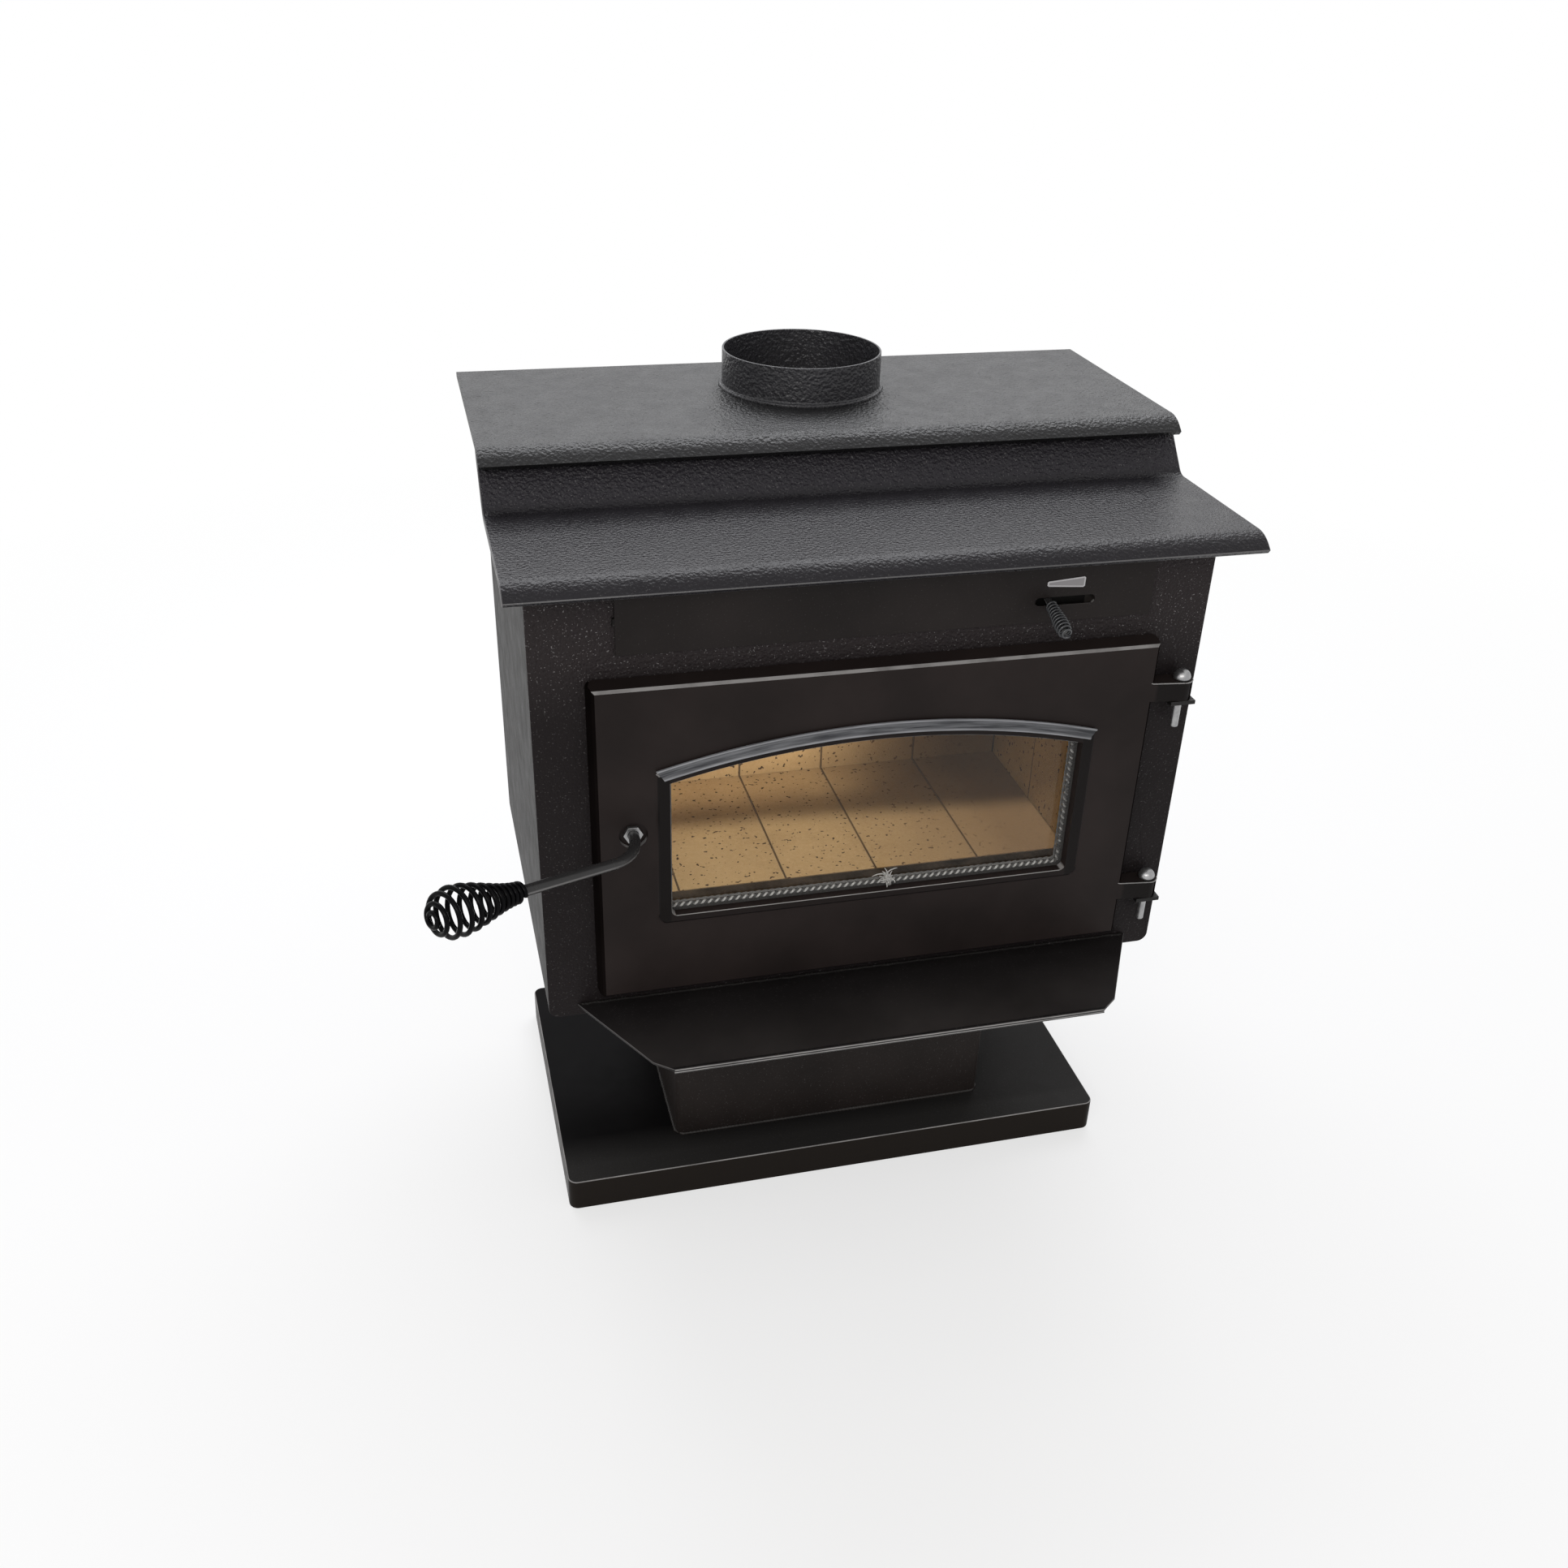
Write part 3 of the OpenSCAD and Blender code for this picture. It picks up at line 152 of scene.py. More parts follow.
for name, place, aim, size, watts, color, fan in [  # the fan is the beam's spread in degrees
        ("back_light", (0.2, 1.6, 2.6), (0, 0, 0.6), (3.0, 1.6), 58, (0.95, 0.96, 1.0), 180),
        ("front_light", (-0.8, -2.0, 1.8), (0, -0.2, 0.4), (2.2, 0.7), 15, (1.0, 0.96, 0.92), 180),
        ("glint_light", (-1.2, -2.2, 1.7), (-0.35, -0.35, 0.53), (0.20, 0.15), 4, (1, 1, 1), 180),
        ("window_beam", (0, -0.1505, 0.4345), (0.0063, -0.0505, 0.3345), (0.54, 0.126), 0.175,
         (1.0, 0.98, 0.93), 9),
        ("window_glow", (-0.09, 0.035, 0.402), (-0.09, 0.165, 0.385), (0.36, 0.04), 0.19,
         (1.0, 0.94, 0.85), 100)]:
    bpy.ops.object.light_add(type="AREA", location=place)
    lamp = bpy.context.object
    lamp.name = name
    lamp.rotation_euler = (Vector(aim) - Vector(place)).to_track_quat("-Z", "Y").to_euler()
    lamp.data.shape = "RECTANGLE"
    lamp.data.size, lamp.data.size_y = size
    lamp.data.energy = watts
    lamp.data.color = color
    lamp.data.spread = math.radians(fan)
    lamp.visible_camera = lamp.visible_glossy = not name.startswith("window")

# ---- Base tray ----------------------------------------------------------------------------
# A tray folded from 3 mm steel sheet, with a flange turned in under it. Its folds are round,
# and its matt black stove paint is lighter along those that face up, partly wear and partly
# painted highlight. Its top is painted darker than its brownish sides, as painted shade under
# the body, and lighter towards the right and in front of the column, as painted light.


def grain(tree, size, detail=2.0, seat=(0, 0, 0), stretch=(1, 1, 1), vector=None):
    """Noise on the piece's own coordinates, with grains of that size in metres."""
    vector = vector or add_node(tree, "ShaderNodeTexCoord").outputs["Object"]
    turned = add_node(tree, "ShaderNodeMapping",
                      {"Vector": vector, "Location": seat, "Scale": stretch})
    speckle = add_node(tree, "ShaderNodeTexNoise",
                       {"Vector": turned.outputs[0], "Scale": 1 / size, "Detail": detail})
    return speckle.outputs["Fac"]


def blend_colors(tree, share, first, second):
    mix = add_node(tree, "ShaderNodeMix", data_type="RGBA")
    for key, value in ((0, share), (6, first), (7, second)):
        if isinstance(value, bpy.types.NodeSocket):
            tree.links.new(value, mix.inputs[key])
        else:
            mix.inputs[key].default_value = value if key == 0 else (*value, 1)
    return mix.outputs[2]


def upward(tree):
    """How far the surface faces up: 1 on top, 0 on the sides, and between them on a fold."""
    facing = add_node(tree, "ShaderNodeNewGeometry")
    return add_node(tree, "ShaderNodeSeparateXYZ", {0: facing.outputs["Normal"]}).outputs["Z"]


def along(tree, axis):
    """The place on the piece along one axis, in metres."""
    place = add_node(tree, "ShaderNodeTexCoord").outputs["Object"]
    return add_node(tree, "ShaderNodeSeparateXYZ", {0: place}).outputs[axis]


# Colours of the pale flecks, which are partly painted glints, and of folds that face up, partly
# wear and partly painted highlight.
speck_glint_color, rubbed_highlight_color = (0.26, 0.25, 0.25), (0.34, 0.33, 0.325)


def stove_paint(name, color, roughness, gloss, peel=0.0030, depth=0.0002, specks_and_glints=0.0,
                rubbed_and_highlit=0.0, sides=None, coarse=None, tone_and_painted_light=None):
    """High-temperature paint: blotchy, with an orange-peel surface and pale flecks, which are
    partly painted glints. Its sides may have their own colour, and its folds that face up may be
    painted lighter, partly as wear and partly as a painted highlight. Where the coarse share is
    high, the peel is deep, and the flecks and a tone of its own show; on the tray, the lip, the
    door and the rod that tone is painted light or shade."""
    material, tree, shader = new_material(name)
    shader.inputs["Specular IOR Level"].default_value = gloss
    cloud = spread(tree, grain(tree, 0.10, 4.0), 0.35, 0.65)
    tone = blend_colors(tree, cloud, [c * 0.78 for c in color], [c * 1.22 for c in color])
    if sides:
        side = spread(tree, upward(tree), 0.75, 0.35)
        tone = blend_colors(tree, side, tone, sides)
    if tone_and_painted_light:
        tone = blend_colors(tree, coarse(tree), tone, tone_and_painted_light)
    # Pale flecks, partly painted glints.
    if specks_and_glints:
        dot = spread(tree, grain(tree, 0.0015, 1.5, (5, 3, 1)), 0.66, 0.73, 0.0, specks_and_glints)
        dot = reckon(tree, "MULTIPLY", dot, coarse(tree)) if coarse else dot
        tone = blend_colors(tree, dot, tone, speck_glint_color)
    # Painted highlight, with wear: folds that face up are lighter.
    if rubbed_and_highlit:
        up = upward(tree)
        fold = reckon(tree, "MULTIPLY", spread(tree, up, 0.25, 0.6), spread(tree, up, 0.97, 0.9))
        patchy = spread(tree, grain(tree, 0.03, 5.0, (7, 1, 2)), 0.32, 0.55, rubbed_and_highlit * 0.6, rubbed_and_highlit)
        wear_and_highlight = reckon(tree, "MULTIPLY", fold, patchy)
        tone = blend_colors(tree, wear_and_highlight, tone, rubbed_highlight_color)
    tree.links.new(tone, shader.inputs["Base Color"])
    rough = spread(tree, grain(tree, 0.02, 4.0, (1, 2, 3)), 0.3, 0.7,
                   roughness - 0.05, roughness + 0.05)
    tree.links.new(rough, shader.inputs["Roughness"])
    bump = add_node(tree, "ShaderNodeBump", {"Height": grain(tree, peel, 1.2), "Distance": depth})
    if coarse:
        tree.links.new(coarse(tree), bump.inputs["Strength"])
    tree.links.new(bump.outputs[0], shader.inputs["Normal"])
    return material


def wear(piece, *materials):
    piece.data.materials.clear()
    for material in materials:
        piece.data.materials.append(material)


same_point, same_plane = 1e-6, math.radians(0.4)
sharp_edge, smooth_face = math.radians(30), math.radians(38)


def dressed(node, edge, material, body="stove", steps=2, name=None, shape=None, arris=None):
    """A copy of a plate, cast or brick piece with its edges rounded off, shown in its place.
    The rounded edges may have a material of their own."""
    bpy.ops.object.select_all(action="DESELECT")
    nodes[node].select_set(True)
    bpy.context.view_layer.objects.active = nodes[node]
    bpy.ops.object.duplicate()
    piece = bpy.context.object
    bpy.ops.object.parent_clear(type="CLEAR_KEEP_TRANSFORM")
    piece.name = piece.data.name = name or node + "_dressed"
    bpy.ops.mesh.customdata_custom_splitnormals_clear()
    bpy.ops.object.mode_set(mode="EDIT")
    bpy.ops.mesh.select_all(action="SELECT")
    bpy.ops.mesh.remove_doubles(threshold=same_point)
    bpy.ops.mesh.dissolve_limited(angle_limit=same_plane)
    bpy.ops.object.mode_set(mode="OBJECT")
    wear(piece, material, *([arris] if arris else []))
    for face in piece.data.polygons:
        face.material_index = 0
    if shape:
        shape(piece)
    round_off = piece.modifiers.new("edges", "BEVEL")
    round_off.width = edge
    round_off.segments = steps
    round_off.limit_method = "ANGLE"
    round_off.angle_limit = sharp_edge
    if arris:
        round_off.material = 1
    bpy.ops.object.modifier_apply(modifier=round_off.name)
    bpy.ops.object.shade_smooth_by_angle(angle=smooth_face)
    flat = piece.modifiers.new("flat", "WEIGHTED_NORMAL")
    flat.keep_sharp = True
    bpy.ops.object.modifier_apply(modifier=flat.name)
    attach(piece, body)
    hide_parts(node)
    return piece


light_across, light_forward, most_light = (-0.16, 0.22), (-0.105, -0.15), 0.8


def tray_painted_light(tree):
    """Painted light on the tray's top: lighter in front of the column, where the light from the
    front reaches, and towards the right, where its sheen grows.
    """
    rightwards = spread(tree, along(tree, "X"), *light_across, 0.0, most_light)
    lying = reckon(tree, "MAXIMUM", rightwards, spread(tree, along(tree, "Y"), *light_forward))
    return reckon(tree, "MULTIPLY", lying, spread(tree, upward(tree), 0.5, 0.95))


# Painted light and shade: a dark top with lighter brown sides, painted light on the top to the
# right and front, and lighter upturned folds.
base_paint = stove_paint("base_paint", (0.0044, 0.0040, 0.0043), 0.34, 0.026, rubbed_and_highlit=1.0,
                         specks_and_glints=0.10, sides=(0.0165, 0.0135, 0.0115), coarse=tray_painted_light,
                         tone_and_painted_light=(0.0290, 0.0278, 0.0270))
dressed("base_plate", 0.0028, base_paint, steps=5, name="base_tray")

# ---- Pedestal -----------------------------------------------------------------------------
# A rectangular column of 4 mm plate with round corners, welded to the tray all round its foot
# with one small uneven bead. Its paint is as brown as the tray's sides, and its edges and the
# bead are a little lighter where they face up, partly wear and partly painted highlight.


def wire(name, paths, radius, body="stove", closed=False, sides=8, radii=None,
         material=None):
    """Round wire, weld bead or strands of fibre that follow the paths' points."""
    curve = bpy.data.curves.new(name, "CURVE")
    curve.dimensions = "3D"
    curve.bevel_depth = radius
    curve.bevel_resolution = max(0, sides // 2 - 2)
    curve.use_fill_caps = True
    for k, points in enumerate(paths):
        line = curve.splines.new("POLY")
        line.points.add(len(points) - 1)
        for i, (point, p) in enumerate(zip(line.points, points)):
            point.co = (*p, 1)
            point.radius = radii[k][i] if radii else 1.0
        line.use_cyclic_u = closed
    piece = bpy.data.objects.new(name, curve)
    bpy.context.collection.objects.link(piece)
    bpy.ops.object.select_all(action="DESELECT")
    piece.select_set(True)
    bpy.context.view_layer.objects.active = piece
    bpy.ops.object.convert(target="MESH")
    piece = bpy.context.object
    bpy.ops.object.mode_set(mode="EDIT")
    bpy.ops.mesh.select_all(action="SELECT")
    bpy.ops.mesh.remove_doubles(threshold=1e-7)
    bpy.ops.mesh.normals_make_consistent(inside=False)
    bpy.ops.object.mode_set(mode="OBJECT")
    bpy.ops.object.shade_smooth_by_angle(angle=math.radians(60))
    wear(piece, material)
    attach(piece, body)
    return piece


def bead(name, corners, radius, material, closed=False, step=0.0012, seed=1, sway=0.0):
    """A run of hand weld along straight lines, with ripples and an uneven width."""
    rolls = random.Random(seed)
    stops = corners + [corners[0]] if closed else corners
    points = []
    for a, b in zip(stops, stops[1:]):
        a, b = Vector(a), Vector(b)
        count = max(2, int((b - a).length / step))
        points += [a.lerp(b, i / count) for i in range(count)]
    if not closed:
        points.append(Vector(stops[-1]))
    settle, jitter, ripple, ripple_turn, sway_scale = 0.08, 0.05, 0.14, 1.9, 60
    swell, radii = 1.0, []
    for i in range(len(points)):
        swell += (1.0 - swell) * settle + rolls.uniform(-jitter, jitter)
        radii.append(swell * (1.0 + ripple * math.sin(i * ripple_turn)))
        points[i].y -= sway * abs(noise.noise(points[i] * sway_scale))
    return wire(name, [points], radius, closed=closed, radii=[radii],
                material=material)


column_paint = stove_paint("column_paint", (0.0150, 0.0118, 0.0108), 0.5, 0.13, specks_and_glints=0.12)
# Weld paint, also on the column's rounded edges: a little lighter where it faces up, partly wear
# and partly painted highlight.
weld_paint = stove_paint("weld_paint", (0.0135, 0.0115, 0.0105), 0.42, 0.13, rubbed_and_highlit=0.09)
dressed("pedestal_column", 0.0008, column_paint, name="pedestal", arris=weld_paint)
low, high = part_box("pedestal_column")
r, foot_z = 0.007, low.z + 0.0008
foot = [(x, y, foot_z) for x, y in (
    (low.x + r, low.y), (high.x - r, low.y), (high.x, low.y + r), (high.x, high.y - r),
    (high.x - r, high.y), (low.x + r, high.y), (low.x, high.y - r), (low.x, low.y + r))]
bead("foot_weld", foot, 0.0024, weld_paint, closed=True, seed=4)

# ---- Firebox plates -----------------------------------------------------------------------
# The floor and sides are one bent plate of 5 mm steel, with a front and a back plate welded
# into it. The paint on the front is coarse where little of it reached, under the step.

shell_paint = stove_paint("shell_paint", (0.0110, 0.0098, 0.0092), 0.50, 0.10, peel=0.0034,
                          depth=0.0006, specks_and_glints=0.2)
dressed("firebox_shell", 0.0009, shell_paint, name="firebox")
dressed("back_plate", 0.0006, shell_paint, name="firebox_back")
dressed("rear_air_duct", 0.0009, shell_paint, name="air_duct")

shaded_band, open_share = (0.600, 0.66), 0.30


def under_step(tree):
    """The front is coarse high up, under the step's overhang, and less so beside the door."""
    return spread(tree, along(tree, "Z"), *shaded_band, open_share, 1.0)


front_paint = stove_paint("front_paint", (0.0068, 0.0052, 0.0055), 0.46, 0.09, peel=0.0028,
                          depth=0.0022, specks_and_glints=0.62, coarse=under_step,
                          tone_and_painted_light=(0.0245, 0.0200, 0.0205))
dressed("front_plate", 0.0009, front_paint, name="firebox_front")

# ---- Step and top plates ------------------------------------------------------------------
# Two 5 mm plates with rolled front edges. The lower one is bent up at its back into the
# riser, and the upper one lies on it. Their satin paint has a deep orange peel on the top and
# on the riser, and a finer one on the step and the noses.


def flat_top(tree):
    """The top's peel is deep where it lies flat, and finer on its rolled nose."""
    return spread(tree, upward(tree), 0.80, 0.99, 0.55, 1.0)


top_paint = stove_paint("top_paint", (0.0085, 0.0083, 0.0090), 0.40, 0.30, peel=0.0030,
                        depth=0.0019, specks_and_glints=0.14, coarse=flat_top)

riser_foot, step_share = (0.7455, 0.752), 0.45


def riser(tree):
    """The step's peel is deep on the riser, and finer below it."""
    return spread(tree, along(tree, "Z"), *riser_foot, step_share, 1.0)


step_paint = stove_paint("step_paint", (0.0085, 0.0080, 0.0088), 0.30, 0.155, peel=0.0028,
                         depth=0.0024, specks_and_glints=0.4, coarse=riser,
                         tone_and_painted_light=(0.0245, 0.0225, 0.0268))
# Painted highlight, with wear: the step plate's rounded edges are painted light grey.
step_edge_highlight = stove_paint("step_edge_highlight", (0.085, 0.083, 0.085), 0.4, 0.4, specks_and_glints=0.3)
dressed("step_plate", 0.0009, step_paint, steps=3, name="step", arris=step_edge_highlight)
dressed("top_plate", 0.0011, top_paint, steps=3, name="top")

# ---- Flue collar --------------------------------------------------------------------------
# A strip of 2 mm steel rolled into a ring and welded round the hole in the top plate. It is
# painted inside and out with a coarse coat.

collar_paint = stove_paint("collar_paint", (0.0190, 0.0185, 0.0215), 0.38, 0.42, peel=0.0034,
                           depth=0.0014, specks_and_glints=0.25)
dressed("flue_collar", 0.0006, collar_paint, name="collar")
low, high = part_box("flue_collar")
middle = (low + high) / 2
ring_r, ring_z = 0.0800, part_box("top_plate")[1].z + 0.0009
ring = [(middle.x + ring_r * math.cos(math.radians(a)),
         middle.y + ring_r * math.sin(math.radians(a)), ring_z) for a in range(0, 360, 2)]
bead("collar_weld", ring, 0.0018, collar_paint, closed=True, step=0.0014, seed=7)

# ---- Air channel cover and its scale plate ------------------------------------------------
# A shallow pressed cover over the air slide, tacked to the front at its left end, with a slot
# for the control and a small plain wedge of satin foil over it.

# Folds that face up are painted lighter, partly wear and partly a painted highlight.
cover_paint = stove_paint("cover_paint", (0.0135, 0.0106, 0.0100), 0.46, 0.13, specks_and_glints=0.10,
                          rubbed_and_highlit=0.6)
dressed("air_channel_cover", 0.0012, cover_paint, steps=3, name="cover")
low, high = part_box("air_channel_cover")
tack_in, tack_half, tack_lean = 0.0030, 0.0035, 0.0003
for i, z in enumerate((0.716, 0.689)):
    bead("cover_tack_%d" % (i + 1), [(low.x + tack_lean, low.y + tack_in, z + tack_half),
                                    (low.x - tack_lean, low.y + tack_in, z - tack_half)],
         0.0024, shell_paint, seed=20 + i)

foil, tree, shader = new_material("scale_foil")
shader.inputs["Metallic"].default_value = 0.3
shader.inputs["Base Color"].default_value = (0.25, 0.24, 0.245, 1)
fine = grain(tree, 0.0006, 2.0, stretch=(1, 1, 9))
tree.links.new(spread(tree, fine, 0.3, 0.7, 0.4, 0.55), shader.inputs["Roughness"])
bright_foil = foil.copy()
bright_foil.name = "bright_foil"
bright_foil.node_tree.nodes["Principled BSDF"].inputs["Base Color"].default_value = (
    0.48, 0.47, 0.48, 1)
rim_w = 0.0013


def rimmed(plate):
    """A bright rim pressed round the plate's face."""
    bpy.ops.object.mode_set(mode="EDIT")
    bpy.ops.mesh.select_all(action="DESELECT")
    bpy.ops.object.mode_set(mode="OBJECT")
    for face in plate.data.polygons:
        face.material_index = 1
        face.select = face.normal.y < -0.9
    bpy.ops.object.mode_set(mode="EDIT")
    bpy.ops.mesh.inset(thickness=rim_w, depth=0)
    bpy.ops.object.mode_set(mode="OBJECT")
    for face in plate.data.polygons:
        if face.select:
            face.material_index = 0


dressed("air_scale_plate", 0.0002, foil, name="scale_plate", shape=rimmed, arris=bright_foil)

# ---- Ash lip ------------------------------------------------------------------------------
# A sheet steel shelf under the door, with its corners cut back. Its front edge is folded back
# under itself, so that two round sheet edges show, and it is welded on along its back.

lip_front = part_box("ash_lip")[0].y


def lip_painted_shade(tree):
    """Painted shade: the lip is darker under the door, where the door shades it, and on its rolled
    front edge, which faces away from the light.
    """
    rear = spread(tree, along(tree, "Y"), lip_front + 0.03, lip_front + 0.09, 0.0, 0.75)
    roll = spread(tree, along(tree, "Y"), lip_front + 0.0050, lip_front + 0.0036)
    return reckon(tree, "MAXIMUM", rear, roll)


# Painted shade under the door and on the rolled edge, and lighter folds that face up, partly wear
# and partly painted highlight.
lip_paint = stove_paint("lip_paint", (0.0235, 0.0207, 0.0203), 0.42, 0.14, specks_and_glints=0.15,
                        depth=0.00012, rubbed_and_highlit=0.35, coarse=lip_painted_shade,
                        tone_and_painted_light=(0.0080, 0.0070, 0.0072))
# The hem's round edges are painted lighter where they face up, partly wear and partly a painted
# highlight.
hem_paint = stove_paint("hem_paint", (0.0100, 0.0095, 0.0090), 0.32, 0.5, rubbed_and_highlit=1.0)
low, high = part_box("ash_lip")
fold_r, hem_r, hem_back = 0.00125, 0.00105, 0.0011


def room_for_hem(lip):
    """The shelf ends a little behind its front, and the hem's round edges take its place."""
    for v in lip.data.vertices:
        if v.co.y < low.y + 0.0005:
            v.co.y += hem_back


lip = dressed("ash_lip", 0.0007, lip_paint, steps=3, name="lip", shape=room_for_hem)
front_half = max(v.co.x for v in lip.data.vertices if v.co.y < low.y + hem_back + 0.002) - 0.001
wire("lip_hem", [[(x, low.y + fold_r, high.z - fold_r * k) for x in (-front_half, front_half)]
                 for k in (1, 3)], hem_r, sides=12, material=hem_paint)
weld_inset, weld_y = 0.004, high.y - 0.0006
bead("lip_weld", [(low.x + weld_inset, weld_y, high.z), (high.x - weld_inset, weld_y, high.z)],
     0.0018, shell_paint, seed=9, sway=0.002)

# ---- Firebrick lining ---------------------------------------------------------------------
# Pressed firebricks, 4 1/2 by 9 inches and 1 1/4 thick, stood and laid dry. They are tan to
# straw and porous; their rounded edges are painted dark, as shade in the gaps between them,
# and they are painted darker brown towards the right, as shade.

brick, tree, shader = new_material("firebrick")
shader.inputs["Roughness"].default_value = 0.95
shader.inputs["Specular IOR Level"].default_value = 0.1
tone = blend_colors(tree, spread(tree, grain(tree, 0.08, 5.0), 0.3, 0.7),
                    (0.42, 0.297, 0.150), (0.54, 0.400, 0.218))
tone = blend_colors(tree, spread(tree, grain(tree, 0.0040, 3.0, (1, 1, 1)), 0.4, 0.75, 0.0, 0.4),
                    tone, (0.60, 0.46, 0.27))
tone = blend_colors(tree, spread(tree, grain(tree, 0.0046, 1.0, (7, 2, 5)), 0.672, 0.690),
                    tone, (0.06, 0.035, 0.02))
# Painted shade: the bricks darken to brown towards the right, short of the right wall.
shade_across, most_shade, right_wall = (0.03, 0.22), 0.9, (0.2730, 0.2725)
painted_right_shade = reckon(tree, "MULTIPLY", spread(tree, along(tree, "X"), *shade_across, 0.0, most_shade),
                spread(tree, along(tree, "X"), *right_wall))
tone = blend_colors(tree, painted_right_shade, tone, (0.225, 0.146, 0.078))
tree.links.new(tone, shader.inputs["Base Color"])
pores = add_node(tree, "ShaderNodeBump", {"Height": grain(tree, 0.0020, 4.0),
                                          "Distance": 0.0005, "Strength": 0.9})
tree.links.new(pores.outputs[0], shader.inputs["Normal"])
# Painted shade: the rounded edges are darker, standing for the gaps between the bricks.
brick_gap_shade = brick.copy()
brick_gap_shade.name = "brick_gap_shade"
tree = brick_gap_shade.node_tree
shader = tree.nodes["Principled BSDF"]
clean = shader.inputs["Base Color"].links[0].from_socket
tree.links.new(blend_colors(tree, 0.8, clean, (0.10, 0.060, 0.032)), shader.inputs["Base Color"])
for node in ("floor_bricks", "back_bricks", "left_bricks", "right_bricks"):
    dressed(node, 0.0010, brick, name=node.replace("bricks", "firebricks"), arris=brick_gap_shade)

# ---- Air ways, tubes and baffle -----------------------------------------------------------
# Inside the firebox all is plain mill-scale steel, apart from the stainless air tubes. The
# baffle is two boards of pressed fibre with a blanket of loose fibre laid on them.

steel, tree, shader = new_material("mill_steel")
shader.inputs["Metallic"].default_value = 0.5
tone = blend_colors(tree, spread(tree, grain(tree, 0.03, 5.0), 0.35, 0.65),
                    (0.035, 0.030, 0.027), (0.085, 0.075, 0.068))
tree.links.new(tone, shader.inputs["Base Color"])
tree.links.new(spread(tree, grain(tree, 0.006, 3.0), 0.3, 0.7, 0.45, 0.62),
               shader.inputs["Roughness"])
for node in ("hearth_ledge", "airwash_channel", "air_manifold", "latch_keeper"):
    dressed(node, 0.0005, steel, name=node + "_steel")

stainless, tree, shader = new_material("stainless_tube")
shader.inputs["Metallic"].default_value = 1.0
tree.links.new(blend_colors(tree, spread(tree, grain(tree, 0.05, 4.0), 0.35, 0.65),
                            (0.34, 0.29, 0.24), (0.50, 0.46, 0.41)), shader.inputs["Base Color"])
tree.links.new(spread(tree, grain(tree, 0.002, 2.0, stretch=(0.1, 1, 1)), 0.3, 0.7, 0.26, 0.42),
               shader.inputs["Roughness"])
wear(nodes["air_tubes"], stainless)

fibre, tree, shader = new_material("fibre_board")
shader.inputs["Roughness"].default_value = 0.95
shader.inputs["Specular IOR Level"].default_value = 0.1
tree.links.new(blend_colors(tree, spread(tree, grain(tree, 0.012, 5.0), 0.35, 0.65),
                            (0.58, 0.54, 0.46), (0.72, 0.69, 0.62)), shader.inputs["Base Color"])
fuzz = add_node(tree, "ShaderNodeBump", {"Height": grain(tree, 0.0015, 4.0, stretch=(0.3, 1, 1)),
                                         "Distance": 0.0005, "Strength": 0.8})
tree.links.new(fuzz.outputs[0], shader.inputs["Normal"])
dressed("baffle_boards", 0.0015, fibre, name="baffle")

low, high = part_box("baffle_blanket")
size, middle = high - low, (low + high) / 2
bpy.ops.mesh.primitive_cube_add(size=1, location=middle, scale=size)
blanket = bpy.context.object
blanket.name = blanket.data.name = "baffle_blanket_soft"
bpy.ops.object.transform_apply(location=True, rotation=False, scale=True)
bpy.ops.object.mode_set(mode="EDIT")
bpy.ops.mesh.select_all(action="SELECT")
bpy.ops.mesh.bevel(offset=0.0045, segments=3, affect="EDGES")
bpy.ops.object.mode_set(mode="OBJECT")
felted = blanket.modifiers.new("felted", "REMESH")
felted.mode, felted.voxel_size = "VOXEL", 0.003
bpy.ops.object.modifier_apply(modifier=felted.name)
sag_depth, wide_sags, small_sags = 0.0022, 28, 140
for v in blanket.data.vertices:
    lifted = min(1.0, (v.co.z - low.z) / size.z)
    dip = noise.noise(v.co * wide_sags) * 0.5 + 0.5 + 0.4 * noise.noise(v.co * small_sags)
    v.co.z -= sag_depth * lifted * max(0.0, dip)
    v.co.z = max(v.co.z, low.z)
bpy.ops.object.shade_smooth()
wear(blanket, fibre)
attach(blanket, "stove")
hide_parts("baffle_blanket")

# ---- Zinc-plated fixings ------------------------------------------------------------------
# Domed hinge bolts, nuts, pins and clips, all plated a dull grey. The two flat brackets that
# carry the hinge bolts are cut from plate, welded to the front and painted.

zinc, tree, shader = new_material("bright_zinc")
shader.inputs["Metallic"].default_value = 0.9
tree.links.new(blend_colors(tree, spread(tree, grain(tree, 0.004, 2.0), 0.35, 0.65),
                            (0.29, 0.29, 0.295), (0.37, 0.37, 0.37)), shader.inputs["Base Color"])
tree.links.new(spread(tree, grain(tree, 0.003, 1.0), 0.3, 0.7, 0.28, 0.36),
               shader.inputs["Roughness"])
dressed("hinge_bolts", 0.0006, zinc, name="bolts")
dressed("tube_pins", 0.0003, zinc, name="pins")
# Folds that face up are painted lighter, partly wear and partly a painted highlight.
bracket_paint = stove_paint("bracket_paint", (0.0085, 0.0078, 0.0076), 0.44, 0.24, rubbed_and_highlit=0.4)
dressed("hinge_brackets", 0.0006, bracket_paint, name="brackets")

# ---- Door ---------------------------------------------------------------------------------
# One iron casting with drafted edges and rolled arrises, a raised frame round the window and
# two lugs that turn on the hinge bolts. It is sprayed with the smoothest coat on the stove.

window_half, window_foot, window_corner = 0.195, 0.400, 0.006
arch_r, arch_z = 0.77903, -0.21320  # the window's arc, and the height of its centre
frame_w, frame_slope = 0.0125, 0.0022
frame_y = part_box("arch_moulding")[1].y
door_face_y = frame_y + 0.002


